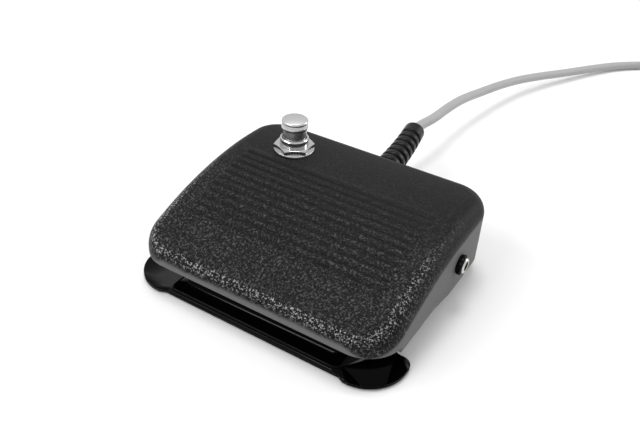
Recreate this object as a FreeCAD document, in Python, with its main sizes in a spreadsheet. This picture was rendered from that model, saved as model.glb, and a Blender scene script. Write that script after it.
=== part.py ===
# Foot switch with a rocking cover, a push button, a side socket and a lead.
# Millimetres. Origin on the floor under the middle of the plate, +X to the
# right, +Y to the rear where the lead leaves, +Z up. The foot presses the
# front (-Y) edge and the cover turns about two pins near its rear edge.
import FreeCAD, Part
import Sketcher
import math
import os

V = FreeCAD.Vector
X_AXIS = V(1, 0, 0)
Y_AXIS = V(0, 1, 0)
Z_AXIS = V(0, 0, 1)
doc = FreeCAD.newDocument("foot_switch")

# Driving dimensions: alias, value, meaning
COVER_SIZES = (
    ("cover_width", 102.4, "cover, left to right"),
    ("cover_depth", 87.0, "cover, front to rear"),
    ("cover_corner", 13.8, "corner radius of the cover seen from above"),
    ("cover_top", 33.4, "crest of the cover above the floor"),
    ("crown_radius", 138.0, "radius of the arched top"),
    ("crest_back", 21.4, "crest of the arch, forward of the rear edge"),
    ("cover_round", 7.0, "rounding of the top edge"),
    ("wall", 2.4, "wall of the cover"),
    ("skirt_front", 11.7, "lower edge of the cover at the front"),
    ("skirt_side", 9.6, "lower edge of the sides, front part"),
    ("skirt_rear", 6.8, "lower edge of the sides, rear part, and of the rear"),
    ("skirt_notch", 12.5, "step of the lower edge, behind the front edge"),
    ("skirt_slope_start", 37.1, "start of its sloping part, behind the front edge"),
    ("skirt_slope_end", 50.7, "end of its sloping part, behind the front edge"),
    ("rib_pitch", 3.4, "pitch of the grip ribs"),
    ("rib_round", 4.0, "radius of a grip rib"),
    ("rib_rise", 0.22, "height of a grip rib above the arch"),
    ("rib_end", 11.0, "distance of a rib's end from the cover's side"),
    ("rib_start", 31.5, "rearmost grip rib, forward of the rear edge"),
)
HINGE_SIZES = (
    ("gap", 0.3, "air between pieces that move past each other"),
    ("fit", 0.05, "radial play of a shaft in its hole"),
    ("hinge_back", 10.5, "hinge line, forward of the cover's rear edge"),
    ("hinge_height", 12.0, "hinge line above the floor"),
    ("pin_radius", 2.0, "hinge pin"),
    ("pin_head_radius", 3.2, "head of the hinge pin"),
    ("pin_head", 1.0, "thickness of the pin's head"),
    ("pin_skin", 1.3, "plastic left outside the pin's end"),
    ("pin_groove", 0.5, "depth of the groove for the retaining ring"),
    ("ring_sheet", 0.7, "thickness of the retaining ring"),
    ("ring_radius", 3.9, "outer radius of the retaining ring"),
    ("bush_radius", 3.0, "hinge bush"),
    ("bush_flange", 4.2, "flange radius of the hinge bush"),
    ("bush_lip", 0.8, "flange thickness of the hinge bush"),
    ("lug_round", 5.0, "round end of the hinge tabs and lugs"),
    ("tab_inset", 6.2, "outer face of a hinge tab, inside the cover's side"),
    ("lug_space", 3.3, "room between a hinge tab and the cover's lug"),
    ("lug_sheet", 2.0, "thickness of a cover's hinge lug"),
)
BASE_SIZES = (
    ("floor_gap", 0.8, "lowest edge of the steel plate above the floor"),
    ("sheet", 1.2, "thickness of the base plate"),
    ("ear_out", 8.9, "tip of an ear beyond the side of the plate"),
    ("ear_ahead", 1.8, "front of the ears, ahead of the cover"),
    ("ear_length", 20.5, "ears, front to rear"),
    ("ear_corner", 15.0, "front corner radius of the ears"),
    ("ear_heel", 4.0, "rear corner radius of the ears"),
    ("span_ahead", 0.7, "front edge between the ears, ahead of the cover"),
    ("span_inset", 15.0, "end of that edge, inside the cover's side"),
    ("ear_jog", 2.3, "length of the jog between that edge and an ear"),
    ("plate_behind", 1.8, "rear edge of the plate, behind the cover"),
    ("plate_corner", 9.0, "rear corner radius of the plate"),
    ("shelf_inset", 15.8, "end of the pressed shelf, inside the cover's side"),
    ("shelf_front_inset", 0.2, "front wall of the shelf, inside the cover's front edge"),
    ("shelf_rear_inset", 5.2, "rear wall of the shelf, inside the cover's rear edge"),
    ("shelf_rise", 1.2, "height of the shelf above the ears"),
    ("shelf_corner", 3.0, "corner radius of the shelf seen from above"),
    ("deck_side_step", 2.4, "shelf left free at each end of the deck"),
    ("deck_front_step", 6.2, "shelf left free in front of the deck"),
    ("deck_rear_step", 3.9, "shelf left free behind the deck"),
    ("deck_rise", 1.4, "height of the deck above the shelf"),
    ("bend", 0.9, "outer bend radius of the pressed steps"),
    ("foot_radius", 5.5, "rubber foot"),
    ("foot_side", 25.2, "rubber foot, inside the cover's side"),
    ("foot_end", 16.5, "rubber foot, inside the cover's front and rear edges"),
    ("rest_side", 26.2, "rest pad, inside the cover's side"),
    ("rest_back", 0.5, "rear face of a rest pad, inside the cover's rear edge"),
    ("rest_length", 10.0, "rest pad, left to right"),
    ("rest_depth", 3.4, "rest pad, front to rear"),
)
PRESS_SIZES = (
    ("travel", 4.0, "turn of the cover in degrees"),
    ("spring_across", 26.0, "return spring, sideways from the middle"),
    ("spring_behind", 25.5, "return spring, behind the cover's front edge at most"),
    ("seat_air", 1.4, "air between a spring seat and the switch bracket at least"),
    ("spring_radius", 4.2, "return spring, middle of the wire"),
    ("spring_wire", 0.6, "wire radius of the return spring"),
    ("spring_pad", 0.05, "upper seat of the return spring below the roof there"),
    ("seat_radius", 5.6, "spring seat"),
    ("seat_sheet", 1.2, "thickness of a spring seat"),
    ("spigot_radius", 3.2, "spigot inside a return spring"),
    ("spigot_length", 3.6, "length of a spigot"),
    ("stop_across", 17.0, "stop post, sideways from the middle"),
    ("stop_behind", 12.0, "stop post, behind the cover's front edge"),
    ("stop_radius", 3.5, "stop post"),
    ("buffer_radius", 4.5, "rubber buffer below a stop post"),
    ("buffer_height", 4.2, "rubber buffer"),
)
SWITCH_SIZES = (
    ("case_left", 6.0, "left side of the snap switch from the middle"),
    ("case_width", 10.3, "snap switch, left to right"),
    ("case_shift", 0.1, "middle of the snap switch, ahead of the cover's middle"),
    ("case_length", 27.8, "snap switch, front to rear"),
    ("case_height", 15.9, "snap switch, height"),
    ("case_hole", 1.5, "fixing hole of the snap switch"),
    ("case_hole_end", 2.8, "fixing hole, from the switch's end"),
    ("case_hole_rise", 5.4, "fixing hole, from the switch's underside"),
    ("pivot_end", 2.6, "lever pivot, from the switch's rear end"),
    ("pivot_rise", 1.1, "lever pivot above the switch"),
    ("pivot_radius", 0.8, "rolled end of the lever"),
    ("cheek", 1.2, "thickness of the pivot cheeks"),
    ("lever_width", 4.4, "lever, left to right"),
    ("lever_sheet", 0.5, "thickness of the lever"),
    ("lever_reach", 21.0, "lever, pivot to tip"),
    ("push_reach", 19.0, "pivot to the cover's push nub"),
    ("nub_radius", 3.0, "push nub inside the cover"),
    ("plunger_reach", 7.0, "pivot to the plunger"),
    ("plunger_radius", 1.1, "plunger"),
    ("plunger_depth", 3.0, "plunger inside the switch"),
    ("blade_width", 4.8, "switch terminal"),
    ("blade_length", 6.4, "switch terminal beyond the switch"),
    ("bracket_sheet", 1.2, "thickness of the switch bracket"),
    ("bracket_height", 10.0, "upright of the switch bracket"),
    ("bracket_foot", 10.0, "foot of the switch bracket"),
    ("bracket_end", 3.0, "bracket is shorter than the switch at each end"),
    ("screw_radius", 1.45, "small screw"),
    ("screw_head_radius", 2.7, "head of a small screw"),
    ("screw_head", 1.8, "height of a small screw's head"),
    ("small_nut", 5.5, "small nut across flats"),
    ("small_nut_height", 2.4, "small nut"),
    ("screw_past", 0.8, "end of a small screw beyond its nut"),
    ("screw_rim", 0.7, "rounded rim of a screw's head, as a share of its radius"),
    ("screw_place", 0.65, "bracket screw, along the bracket's foot as a share"),
)
BUTTON_SIZES = (
    ("button_side", 25.5, "button axis, inside the cover's left side"),
    ("bushing_radius", 6.0, "threaded bushing of the button"),
    ("bushing_rise", 6.0, "bushing above the cover"),
    ("bushing_drop", 9.0, "bushing below the crest of the cover"),
    ("bore_radius", 4.8, "bore of the bushing"),
    ("bore_floor", 1.0, "floor of the bore above the bushing's lower end"),
    ("washer_radius", 8.0, "washer under the nut"),
    ("washer_height", 0.8, "washer under the nut"),
    ("nut_flats", 14.0, "nut across flats"),
    ("nut_height", 3.0, "nut on the cover"),
    ("lock_nut_height", 2.4, "nut inside the cover"),
    ("lock_pad", 0.5, "flat pad under the arch for that nut"),
    ("cap_radius", 5.2, "button cap"),
    ("cap_height", 2.9, "button cap"),
    ("cap_play", 1.2, "air left between bushing and pressed cap"),
    ("cap_round", 0.5, "rounded rim of the cap"),
    ("cap_groove", 0.25, "depth of the groove round the cap"),
    ("bushing_bevel", 0.6, "bevel at the end of the bushing"),
    ("button_travel", 3.0, "travel of the button"),
    ("shank_drop", 0.4, "lower end of the shank below the crest"),
    ("button_spring_radius", 3.6, "spring below the shank, middle of the wire"),
    ("button_spring_wire", 0.25, "wire radius of that spring"),
    ("can_radius", 6.9, "round switch below the bushing"),
    ("can_height", 11.0, "round switch below the bushing"),
    ("pin_lug_length", 3.6, "solder lug of the round switch"),
)
SOCKET_SIZES = (
    ("socket_back", 31.0, "socket axis, forward of the cover's rear edge"),
    ("socket_height", 17.4, "socket axis above the floor"),
    ("socket_bore", 1.8, "bore of the socket"),
    ("socket_depth", 14.0, "depth of the bore"),
    ("socket_thread", 3.0, "threaded barrel of the socket"),
    ("barrel_reach", 2.7, "barrel beyond the cover's side"),
    ("ring_nut_radius", 4.0, "round nut of the socket"),
    ("ring_nut_height", 2.2, "round nut of the socket"),
    ("socket_width", 9.0, "socket housing, front to rear"),
    ("socket_tall", 10.0, "socket housing, height"),
    ("socket_back_wall", 1.6, "end of the housing beyond the bore"),
    ("lug_length", 4.0, "solder lug of the socket"),
    ("lug_width", 2.4, "solder lug, across"),
    ("socket_bevel", 0.4, "bevel of the socket's nut and barrel"),
)
LEAD_SIZES = (
    ("flange_back", 7.1, "front face of the lead's flange, inside the cover's rear edge"),
    ("flange_half", 9.5, "half width of the lead's flange"),
    ("relief_height", 17.3, "strain relief above the floor"),
    ("relief_neck", 4.4, "strain relief in the flange"),
    ("relief_collar", 5.6, "collars of the strain relief"),
    ("relief_collar_length", 2.4, "inner collar of the strain relief"),
    ("relief_shoulder", 6.0, "outer collar of the strain relief"),
    ("relief_ridge", 5.1, "ridges of the sleeve at its root"),
    ("relief_tip", 4.5, "ridges of the sleeve at its end"),
    ("relief_groove", 1.2, "depth of the grooves"),
    ("relief_pitch", 5.0, "pitch of the grooves"),
    ("relief_groove_length", 1.8, "length of a groove"),
    ("relief_length", 50.4, "strain relief outside the flange"),
    ("notch_half", 7.6, "half width of the rear notch of the cover"),
    ("lead_radius", 2.25, "lead"),
    ("tail_length", 9.0, "lead inside the strain relief's inner end"),
    ("relief_bevel", 0.3, "slope at the sides of a groove, along the sleeve"),
    ("coil_outside", 37.2, "coil of the unseen length, outer radius"),
    ("coil_inside", 13.9, "coil, inner radius"),
    ("coil_height", 9.5, "coil, height"),
    ("plug_radius", 4.0, "grip of the plug"),
    ("plug_length", 26.0, "grip of the plug"),
    ("plug_pin_radius", 1.75, "pin of the plug"),
    ("plug_pin_length", 14.0, "pin of the plug"),
)
SIZES = (COVER_SIZES + HINGE_SIZES + BASE_SIZES + PRESS_SIZES + SWITCH_SIZES
         + BUTTON_SIZES + SOCKET_SIZES + LEAD_SIZES)
RIB_COUNT = 12
SPRING_TURNS = 5.5
BUTTON_SPRING_TURNS = 5
BLADE_SHARES = (0.2, 0.5, 0.8)
CUT_PAST = 5.0
TAPER = 0.88
sheet = doc.addObject("Spreadsheet::Sheet", "sizes")
for row, (alias, value, meaning) in enumerate(SIZES, start=1):
    sheet.set("A%d" % row, alias)
    sheet.set("B%d" % row, str(value))
    sheet.set("C%d" % row, meaning)
    sheet.setAlias("B%d" % row, alias)
doc.recompute()


class Size:
    """A length that keeps its number beside its formula in sheet cells."""

    def __init__(self, value, text):
        self.value = value
        self.text = text

    def join(self, other, sign, value, swap=False):
        other = as_size(other)
        left, right = (other, self) if swap else (self, other)
        return Size(value(left.value, right.value), "(%s %s %s)" % (left.text, sign, right.text))

    def __add__(self, other):
        return self.join(other, "+", lambda a, b: a + b)

    __radd__ = __add__

    def __sub__(self, other):
        return self.join(other, "-", lambda a, b: a - b)

    def __rsub__(self, other):
        return self.join(other, "-", lambda a, b: a - b, swap=True)

    def __mul__(self, other):
        return self.join(other, "*", lambda a, b: a * b)

    __rmul__ = __mul__

    def __truediv__(self, other):
        return self.join(other, "/", lambda a, b: a / b)

    def __neg__(self):
        return self * -1


def as_size(number):
    return number if isinstance(number, Size) else Size(float(number), "%.6f" % number)


def root(size):
    return Size(math.sqrt(size.value), "sqrt(%s)" % size.text)


def smaller(first, second):
    return Size(min(first.value, second.value), "min(%s; %s)" % (first.text, second.text))


class Sheet:
    """Gives each named cell of the sheet as a Size."""

    def __getattr__(self, alias):
        return Size(float(sheet.get(alias)), "sizes." + alias)


D = Sheet()


def bind(item, path, size):
    """Ties one property of an object to a formula."""
    item.setExpression(path, as_size(size).text)


def put(item, x=0, y=0, z=0, turn=None):
    """Places an object; turn is an axis and an angle in degrees."""
    if turn:
        item.Placement = FreeCAD.Placement(V(), FreeCAD.Rotation(*turn))
    for letter, size in zip("xyz", (x, y, z)):
        bind(item, "Placement.Base." + letter, size)


def new_sketch(body, plane, name):
    """A sketch on one of the body's own origin planes."""
    drawing = body.newObject("Sketcher::SketchObject", name)
    face = [item for item in body.Origin.OriginFeatures if item.Role == plane][0]
    drawing.AttachmentSupport = [(face, "")]
    drawing.MapMode = "FlatFace"
    return drawing


def polygon(drawing, corners):
    """Closed outline whose corners follow formulas."""
    points = [V(as_size(a).value, as_size(b).value, 0) for a, b in corners]
    count = len(points)
    for i in range(count):
        drawing.addGeometry(Part.LineSegment(points[i], points[(i + 1) % count]), False)
    for i in range(count):
        drawing.addConstraint(Sketcher.Constraint("Coincident", i, 2, (i + 1) % count, 1))
    for i, corner in enumerate(corners):
        for kind, size in zip(("DistanceX", "DistanceY"), corner):
            fix(drawing, kind, i, 1, size)


def fix(drawing, kind, piece, end, size):
    """Holds one point of a sketch at a formula, measured from the origin."""
    size = as_size(size)
    name = "%s_%d_%d" % (kind, piece, end)
    number = drawing.addConstraint(Sketcher.Constraint(kind, -1, 1, piece, end, size.value))
    drawing.renameConstraint(number, name)
    drawing.setExpression("Constraints." + name, size.text)


def circle(drawing, across, up, radius):
    """Circle whose centre and radius follow formulas."""
    centre = V(as_size(across).value, as_size(up).value, 0)
    piece = drawing.addGeometry(Part.Circle(centre, Z_AXIS, as_size(radius).value), False)
    fix(drawing, "DistanceX", piece, 3, across)
    fix(drawing, "DistanceY", piece, 3, up)
    number = drawing.addConstraint(Sketcher.Constraint("Radius", piece, as_size(radius).value))
    drawing.renameConstraint(number, "radius_%d" % piece)
    drawing.setExpression("Constraints.radius_%d" % piece, as_size(radius).text)


def hexagon(across_flats):
    """Corners of a hexagon by its width across flats."""
    flat = as_size(across_flats) / 2
    corner = flat * (2 / math.sqrt(3))
    return [(corner, 0), (corner / 2, flat), (-corner / 2, flat),
            (-corner, 0), (-corner / 2, -flat), (corner / 2, -flat)]


def pad(body, drawing, length, symmetric=False):
    """Adds the sketch's outline to the body."""
    step = body.newObject("PartDesign::Pad", drawing.Name + "_pad")
    step.Profile = (drawing, [""])
    step.SideType = "Symmetric" if symmetric else "One side"
    bind(step, "Length", length)
    doc.recompute()
    return step


def pocket(body, drawing, length, symmetric=False, upwards=False):
    """Cuts the sketch's outline from the body and makes sure that it did."""
    before = body.Shape.Volume
    step = body.newObject("PartDesign::Pocket", drawing.Name + "_cut")
    step.Profile = (drawing, [""])
    step.SideType = "Symmetric" if symmetric else "One side"
    step.Reversed = upwards
    bind(step, "Length", length)
    doc.recompute()
    if body.Shape.Volume > before - 0.01:
        raise ValueError("nothing was cut by " + step.Name)
    return step


def edges_where(item, test):
    """Names of the edges that pass a test."""
    return ["Edge%d" % (i + 1) for i, edge in enumerate(item.Shape.Edges) if test(edge)]


def rounded(body, item, test, radius, kind="Fillet"):
    """Fillet or chamfer on the edges that pass a test."""
    step = body.newObject("PartDesign::" + kind, "%s_%s" % (item.Name, kind.lower()))
    step.Base = (item, edges_where(item, test))
    bind(step, "Radius" if kind == "Fillet" else "Size", radius)
    doc.recompute()
    return step


def upright(edge):
    """True for a straight edge along Z."""
    ends = [vertex.Point for vertex in edge.Vertexes]
    return len(ends) == 2 and math.hypot(ends[0].x - ends[1].x, ends[0].y - ends[1].y) < 1e-6


def level(height):
    """Test for edges that lie at one height."""
    top = as_size(height).value
    return lambda edge: all(abs(vertex.Z - top) < 1e-6 for vertex in edge.Vertexes)


def new_body(label):
    return doc.addObject("PartDesign::Body", label)


def prism(label, corners, length, plane="XY_Plane", symmetric=False, holes=()):
    """A body padded from an outline, with round holes (across, up, radius)."""
    body = new_body(label)
    drawing = new_sketch(body, plane, label + "_outline")
    polygon(drawing, corners)
    for hole in holes:
        circle(drawing, *hole)
    pad(body, drawing, length, symmetric)
    return body


def turned(label, outline):
    """A body turned about its own Z axis from an outline of (radius, height)."""
    body = new_body(label)
    drawing = new_sketch(body, "XZ_Plane", label + "_outline")
    polygon(drawing, outline)
    step = body.newObject("PartDesign::Revolution", label + "_turn")
    step.Profile = (drawing, [""])
    step.ReferenceAxis = (drawing, ["V_Axis"])
    step.Angle = 360
    doc.recompute()
    return body


def box(name, xs, ys, zs):
    """Part::Box between two formulas along each axis."""
    item = doc.addObject("Part::Box", name)
    for path, (low, high) in zip(("Length", "Width", "Height"), (xs, ys, zs)):
        bind(item, path, high - low)
    put(item, xs[0], ys[0], zs[0])
    return item


ALONG_X = (Y_AXIS, 90)
ALONG_MINUS_X = (Y_AXIS, -90)
ALONG_Y = (X_AXIS, -90)


def rod(name, radius, length, x, y, z, turn=None):
    """Part::Cylinder that starts at a point; it points up unless turned."""
    item = doc.addObject("Part::Cylinder", name)
    bind(item, "Radius", radius)
    bind(item, "Height", length)
    put(item, x, y, z, turn)
    return item


def fused(name, pieces):
    item = doc.addObject("Part::MultiFuse", name)
    item.Shapes = pieces
    return item


def less(name, base, tools):
    """Base without the tools."""
    item = doc.addObject("Part::Cut", name)
    item.Base = base
    item.Tool = tools[0] if len(tools) == 1 else fused(name + "_tools", tools)
    return item


def group_of(name, pieces):
    """Separate solids kept in one node."""
    item = doc.addObject("Part::Compound", name)
    item.Links = pieces
    return item


NODES = []


def node(item, label):
    """Marks an object as a sub-part that is written to its own file."""
    item.Label = label
    NODES.append(item)
    return item


def feature(label, shape):
    item = doc.addObject("Part::Feature", label)
    item.Shape = shape
    return item


# Places that several pieces share
half_width = D.cover_width / 2
half_depth = D.cover_depth / 2
crest_y = half_depth - D.crest_back
crown_centre = D.cover_top - D.crown_radius
hinge_y = half_depth - D.hinge_back
hinge_z = D.hinge_height
shelf_top = D.floor_gap + D.sheet + D.shelf_rise
deck_top = shelf_top + D.deck_rise
deck_under = deck_top - D.sheet
turn_share = math.radians(1) * D.travel
roof_under = D.cover_top - D.wall
tab_outside = half_width - D.tab_inset
lug_inside = tab_outside - D.sheet - D.lug_space - D.lug_sheet
ear_front = half_depth + D.ear_ahead
ear_rear = ear_front - D.ear_length
plate_rear = half_depth + D.plate_behind
shelf_half = half_width - D.shelf_inset
shelf_front = half_depth - D.shelf_front_inset
shelf_rear = half_depth - D.shelf_rear_inset
flange_y = half_depth - D.flange_back
stop_y = D.stop_behind - half_depth
button_x = D.button_side - half_width
button_y = crest_y
socket_y = half_depth - D.socket_back
case_right = D.case_left + D.case_width
case_middle = D.case_left + D.case_width / 2
case_front = -D.case_shift - D.case_length / 2
case_back = case_front + D.case_length
bracket_front = case_front + D.bracket_end
spring_y = smaller(D.spring_behind - half_depth, bracket_front - D.seat_air - D.seat_radius)
case_top = deck_top + D.case_height
pivot_y = case_back - D.pivot_end
pivot_z = case_top + D.pivot_rise
push_y = pivot_y - D.push_reach
lever_turn = turn_share * (hinge_y - push_y) / D.push_reach
SIDES = (("left", -1), ("right", 1))


def arch(y, depth=0):
    """Height of the arched top at y, or of the arch that lies deeper by depth."""
    return crown_centre + root((D.crown_radius - depth) * (D.crown_radius - depth)
                               - (y - crest_y) * (y - crest_y))


# Cover: a moulding, made as its outer form less a core
def cushion(label, inset):
    """Rounded block with an arched top, smaller by inset on every side."""
    body = new_body(label)
    plan = new_sketch(body, "XY_Plane", label + "_plan")
    wide = half_width - inset
    deep = half_depth - inset
    polygon(plan, [(-wide, -deep), (wide, -deep), (wide, deep), (-wide, deep)])
    block = pad(body, plan, D.cover_top)
    corners = rounded(body, block, upright, D.cover_corner - inset)
    side = new_sketch(body, "YZ_Plane", label + "_arch")
    radius = D.crown_radius - inset
    reach = half_depth + inset + 1
    ceiling = D.cover_top + CUT_PAST
    left = V(-reach.value, arch(-reach, inset).value, 0)
    right = V(reach.value, arch(reach, inset).value, 0)
    middle = V(crest_y.value, crown_centre.value, 0)
    start = math.atan2(right.y - middle.y, right.x - middle.x)
    end = math.atan2(left.y - middle.y, left.x - middle.x)
    top_left = V(left.x, ceiling.value, 0)
    top_right = V(right.x, ceiling.value, 0)
    side.addGeometry(Part.ArcOfCircle(Part.Circle(middle, Z_AXIS, radius.value), start, end), False)
    side.addGeometry(Part.LineSegment(left, top_left), False)
    side.addGeometry(Part.LineSegment(top_left, top_right), False)
    side.addGeometry(Part.LineSegment(top_right, right), False)
    for first, second in ((0, 1), (1, 2), (2, 3)):
        side.addConstraint(Sketcher.Constraint("Coincident", first, 2, second, 1))
    side.addConstraint(Sketcher.Constraint("Coincident", 3, 2, 0, 1))
    side.addConstraint(Sketcher.Constraint("Vertical", 1))
    side.addConstraint(Sketcher.Constraint("Vertical", 3))
    fix(side, "DistanceX", 0, 3, crest_y)
    fix(side, "DistanceY", 0, 3, crown_centre)
    fix(side, "DistanceX", 0, 1, reach)
    fix(side, "DistanceY", 0, 1, arch(reach, inset))
    fix(side, "DistanceX", 0, 2, -reach)
    fix(side, "DistanceY", 1, 2, ceiling)
    fix(side, "DistanceY", 2, 2, ceiling)
    cut = pocket(body, side, D.cover_width + 2 * CUT_PAST, symmetric=True)
    top = max(cut.Shape.Faces, key=lambda face: face.CenterOfMass.z)
    rim = [edge.hashCode() for edge in top.Edges]
    rounded(body, cut, lambda edge: edge.hashCode() in rim, D.cover_round - inset)
    return body


def cover():
    outer = cushion("cover_form", 0)
    ribs = new_sketch(outer, "YZ_Plane", "grip_ribs")
    sunk = D.rib_round - D.rib_rise
    for i in range(RIB_COUNT):
        y = half_depth - D.rib_start - i * D.rib_pitch
        circle(ribs, y, arch(y, sunk), D.rib_round)
    pad(outer, ribs, D.cover_width - 2 * D.rib_end, symmetric=True)

    posts = []
    for side, sign in SIDES:
        lug_start = lug_inside if sign > 0 else -lug_inside - D.lug_sheet
        lug_xs = (lug_start, lug_start + D.lug_sheet)
        lug_ys = (hinge_y - D.lug_round, half_depth)
        posts.append(box(side + "_lug", lug_xs, lug_ys, (hinge_z, D.cover_top)))
        lug_end = (D.lug_round, D.lug_sheet, lug_start, hinge_y, hinge_z, ALONG_X)
        posts.append(rod(side + "_lug_end", *lug_end))
        boss_start = tab_outside + D.bush_lip + D.gap
        turn = ALONG_X if sign > 0 else ALONG_MINUS_X
        boss = (D.lug_round, half_width - boss_start, sign * boss_start, hinge_y, hinge_z, turn)
        posts.append(rod(side + "_boss", *boss))
        spring = (sign * D.spring_across, spring_y)
        posts.append(rod(side + "_spring_pad", D.seat_radius, D.cover_top, *spring, spring_top()))
        spigot_z = spring_top() - D.spigot_length
        posts.append(rod(side + "_spigot", D.spigot_radius, D.cover_top, *spring, spigot_z))
        stop = (sign * D.stop_across, stop_y, stop_z())
        posts.append(rod(side + "_stop", D.stop_radius, D.cover_top, *stop))
    pad_z = roof_under - D.lock_pad
    posts.append(rod("button_pad", D.washer_radius + 1, D.cover_top, button_x, button_y, pad_z))
    posts.append(rod("push_nub", D.nub_radius, D.cover_top, case_middle, push_y, nub_z()))
    core = less("cover_core_with_posts", cushion("cover_core", D.wall), posts)

    skirt = new_body("skirt_cut")
    outline = new_sketch(skirt, "YZ_Plane", "skirt_line")
    past = half_depth + CUT_PAST
    notch = D.skirt_notch - half_depth
    slope_start = D.skirt_slope_start - half_depth
    slope_end = D.skirt_slope_end - half_depth
    polygon(outline, [(-past, -1), (-past, D.skirt_front), (notch, D.skirt_front), (notch, D.skirt_side),
                      (slope_start, D.skirt_side), (slope_end, D.skirt_rear),
                      (past, D.skirt_rear), (past, -1)])
    pad(skirt, outline, D.cover_width + 2 * CUT_PAST, symmetric=True)

    cuts = [core, skirt]
    bushing_hole = D.bushing_radius + D.fit
    cuts.append(rod("bushing_hole", bushing_hole, D.cover_top, button_x, button_y, roof_under - 1))
    barrel_hole = D.socket_thread + D.fit
    barrel_at = (half_width - CUT_PAST, socket_y, D.socket_height)
    cuts.append(rod("barrel_hole", barrel_hole, 2 * CUT_PAST, *barrel_at, ALONG_X))
    notch_ys = (half_depth - 2 * D.wall, half_depth + 1)
    cuts.append(box("lead_notch", (-D.notch_half, D.notch_half), notch_ys, (0, D.relief_height)))
    cuts.append(rod("lead_notch_top", D.notch_half, 2 * D.wall + 1, 0, notch_ys[0], D.relief_height, ALONG_Y))
    for side, sign in SIDES:
        start = lug_inside - 1
        length = half_width - D.pin_skin - start
        turn = ALONG_X if sign > 0 else ALONG_MINUS_X
        hole = (D.pin_radius + D.fit, length, sign * start, hinge_y, hinge_z, turn)
        cuts.append(rod(side + "_pin_hole", *hole))
    node(less("cover_shell", outer, cuts), "cover_shell")


def spring_top():
    """Upper seat of a return spring, under the roof at the spring's front."""
    return arch(spring_y - D.spring_radius - D.spring_wire, D.wall) - D.spring_pad


def stop_z():
    """Lower end of a stop post: it meets the buffer at the end of the travel."""
    drop = turn_share * (hinge_y - stop_y)
    return deck_top + D.buffer_height + drop + D.gap


def nub_z():
    """Lower end of the push nub, just above the raised lever."""
    return pivot_z + lever_turn * D.push_reach + D.lever_sheet / 2 + D.gap


def beside(x, y):
    """Test for upright edges at a place or its mirror place."""
    x = abs(as_size(x).value)
    y = as_size(y).value
    return lambda edge: (upright(edge) and abs(abs(edge.Vertexes[0].X) - x) < 1e-6
                         and abs(edge.Vertexes[0].Y - y) < 1e-6)


# Base: one pressed steel plate with ears, a stepped deck, tabs and a flange
def step_rectangle(body, name, half, front, rear):
    drawing = new_sketch(body, "XY_Plane", name)
    polygon(drawing, [(-half, -front), (half, -front), (half, rear), (-half, rear)])
    return drawing


def plate_form():
    body = new_body("plate_form")
    blank = new_sketch(body, "XY_Plane", "blank")
    span_half = half_width - D.span_inset
    ear_tip = tab_outside + D.ear_out
    ear_heel = smaller(D.ear_heel, D.ear_out * 0.49)
    right = [(span_half, -half_depth - D.span_ahead), (span_half + D.ear_jog, -ear_front),
             (ear_tip, -ear_front), (ear_tip, -ear_rear), (tab_outside, -ear_rear), (tab_outside, plate_rear)]
    polygon(blank, right + [(-x, y) for x, y in reversed(right)])
    step = pad(body, blank, D.sheet)
    step = rounded(body, step, beside(ear_tip, -ear_front), D.ear_corner)
    step = rounded(body, step, beside(ear_tip, -ear_rear), ear_heel)
    step = rounded(body, step, beside(tab_outside, -ear_rear), ear_heel)
    step = rounded(body, step, beside(tab_outside, plate_rear), D.plate_corner)
    levels = ((D.sheet + D.shelf_rise, shelf_half, shelf_front, shelf_rear),
              (D.sheet + D.shelf_rise + D.deck_rise, shelf_half - D.deck_side_step,
               shelf_front - D.deck_front_step, shelf_rear - D.deck_rear_step))
    for name, (top, half, front, rear) in zip(("shelf", "deck"), levels):
        step = pad(body, step_rectangle(body, name, half, front, rear), top)
        step = rounded(body, step, lambda edge: beside(half, -front)(edge) or beside(half, rear)(edge),
                       D.shelf_corner)
        step = rounded(body, step, level(top), D.bend)
    for name, (top, half, front, rear) in zip(("shelf_hollow", "deck_hollow"), levels):
        inside = [size - D.sheet for size in (half, front, rear)]
        pocket(body, step_rectangle(body, name, *inside), top - D.sheet, upwards=True)
    put(body, 0, 0, D.floor_gap)
    return body


def base_plate():
    pieces = [plate_form()]
    holes = []
    tab_ys = (hinge_y - D.lug_round, hinge_y + D.lug_round)
    for side, sign in SIDES:
        start = tab_outside - D.sheet if sign > 0 else -tab_outside
        pieces.append(box(side + "_tab", (start, start + D.sheet), tab_ys, (D.floor_gap, hinge_z)))
        pieces.append(rod(side + "_tab_end", D.lug_round, D.sheet, start, hinge_y, hinge_z, ALONG_X))
        hole = (D.bush_radius, 3 * D.sheet, start - D.sheet, hinge_y, hinge_z, ALONG_X)
        holes.append(rod(side + "_bush_hole", *hole))
    flange_ys = (flange_y, flange_y + D.sheet)
    flange_zs = (shelf_top - D.sheet, D.relief_height)
    pieces.append(box("flange", (-D.flange_half, D.flange_half), flange_ys, flange_zs))
    pieces.append(rod("flange_top", D.flange_half, D.sheet, 0, flange_y, D.relief_height, ALONG_Y))
    neck = D.relief_neck + D.fit
    holes.append(rod("relief_hole", neck, 3 * D.sheet, 0, flange_y - D.sheet, D.relief_height, ALONG_Y))
    for number, y in enumerate(bracket_screw_ys()):
        hole = D.screw_radius + D.fit
        holes.append(rod("deck_hole_%d" % number, hole, deck_top, bracket_screw_x(), y, deck_under - 1))
    node(less("base_plate", fused("base_pieces", pieces), holes), "base_plate")


def bracket_screw_x():
    return case_right + D.screw_place * D.bracket_foot


def bracket_screw_ys():
    middle = case_back - D.case_length / 2
    reach = D.case_length / 2 - 2 * D.bracket_end
    return (middle - reach, middle + reach)


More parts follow.
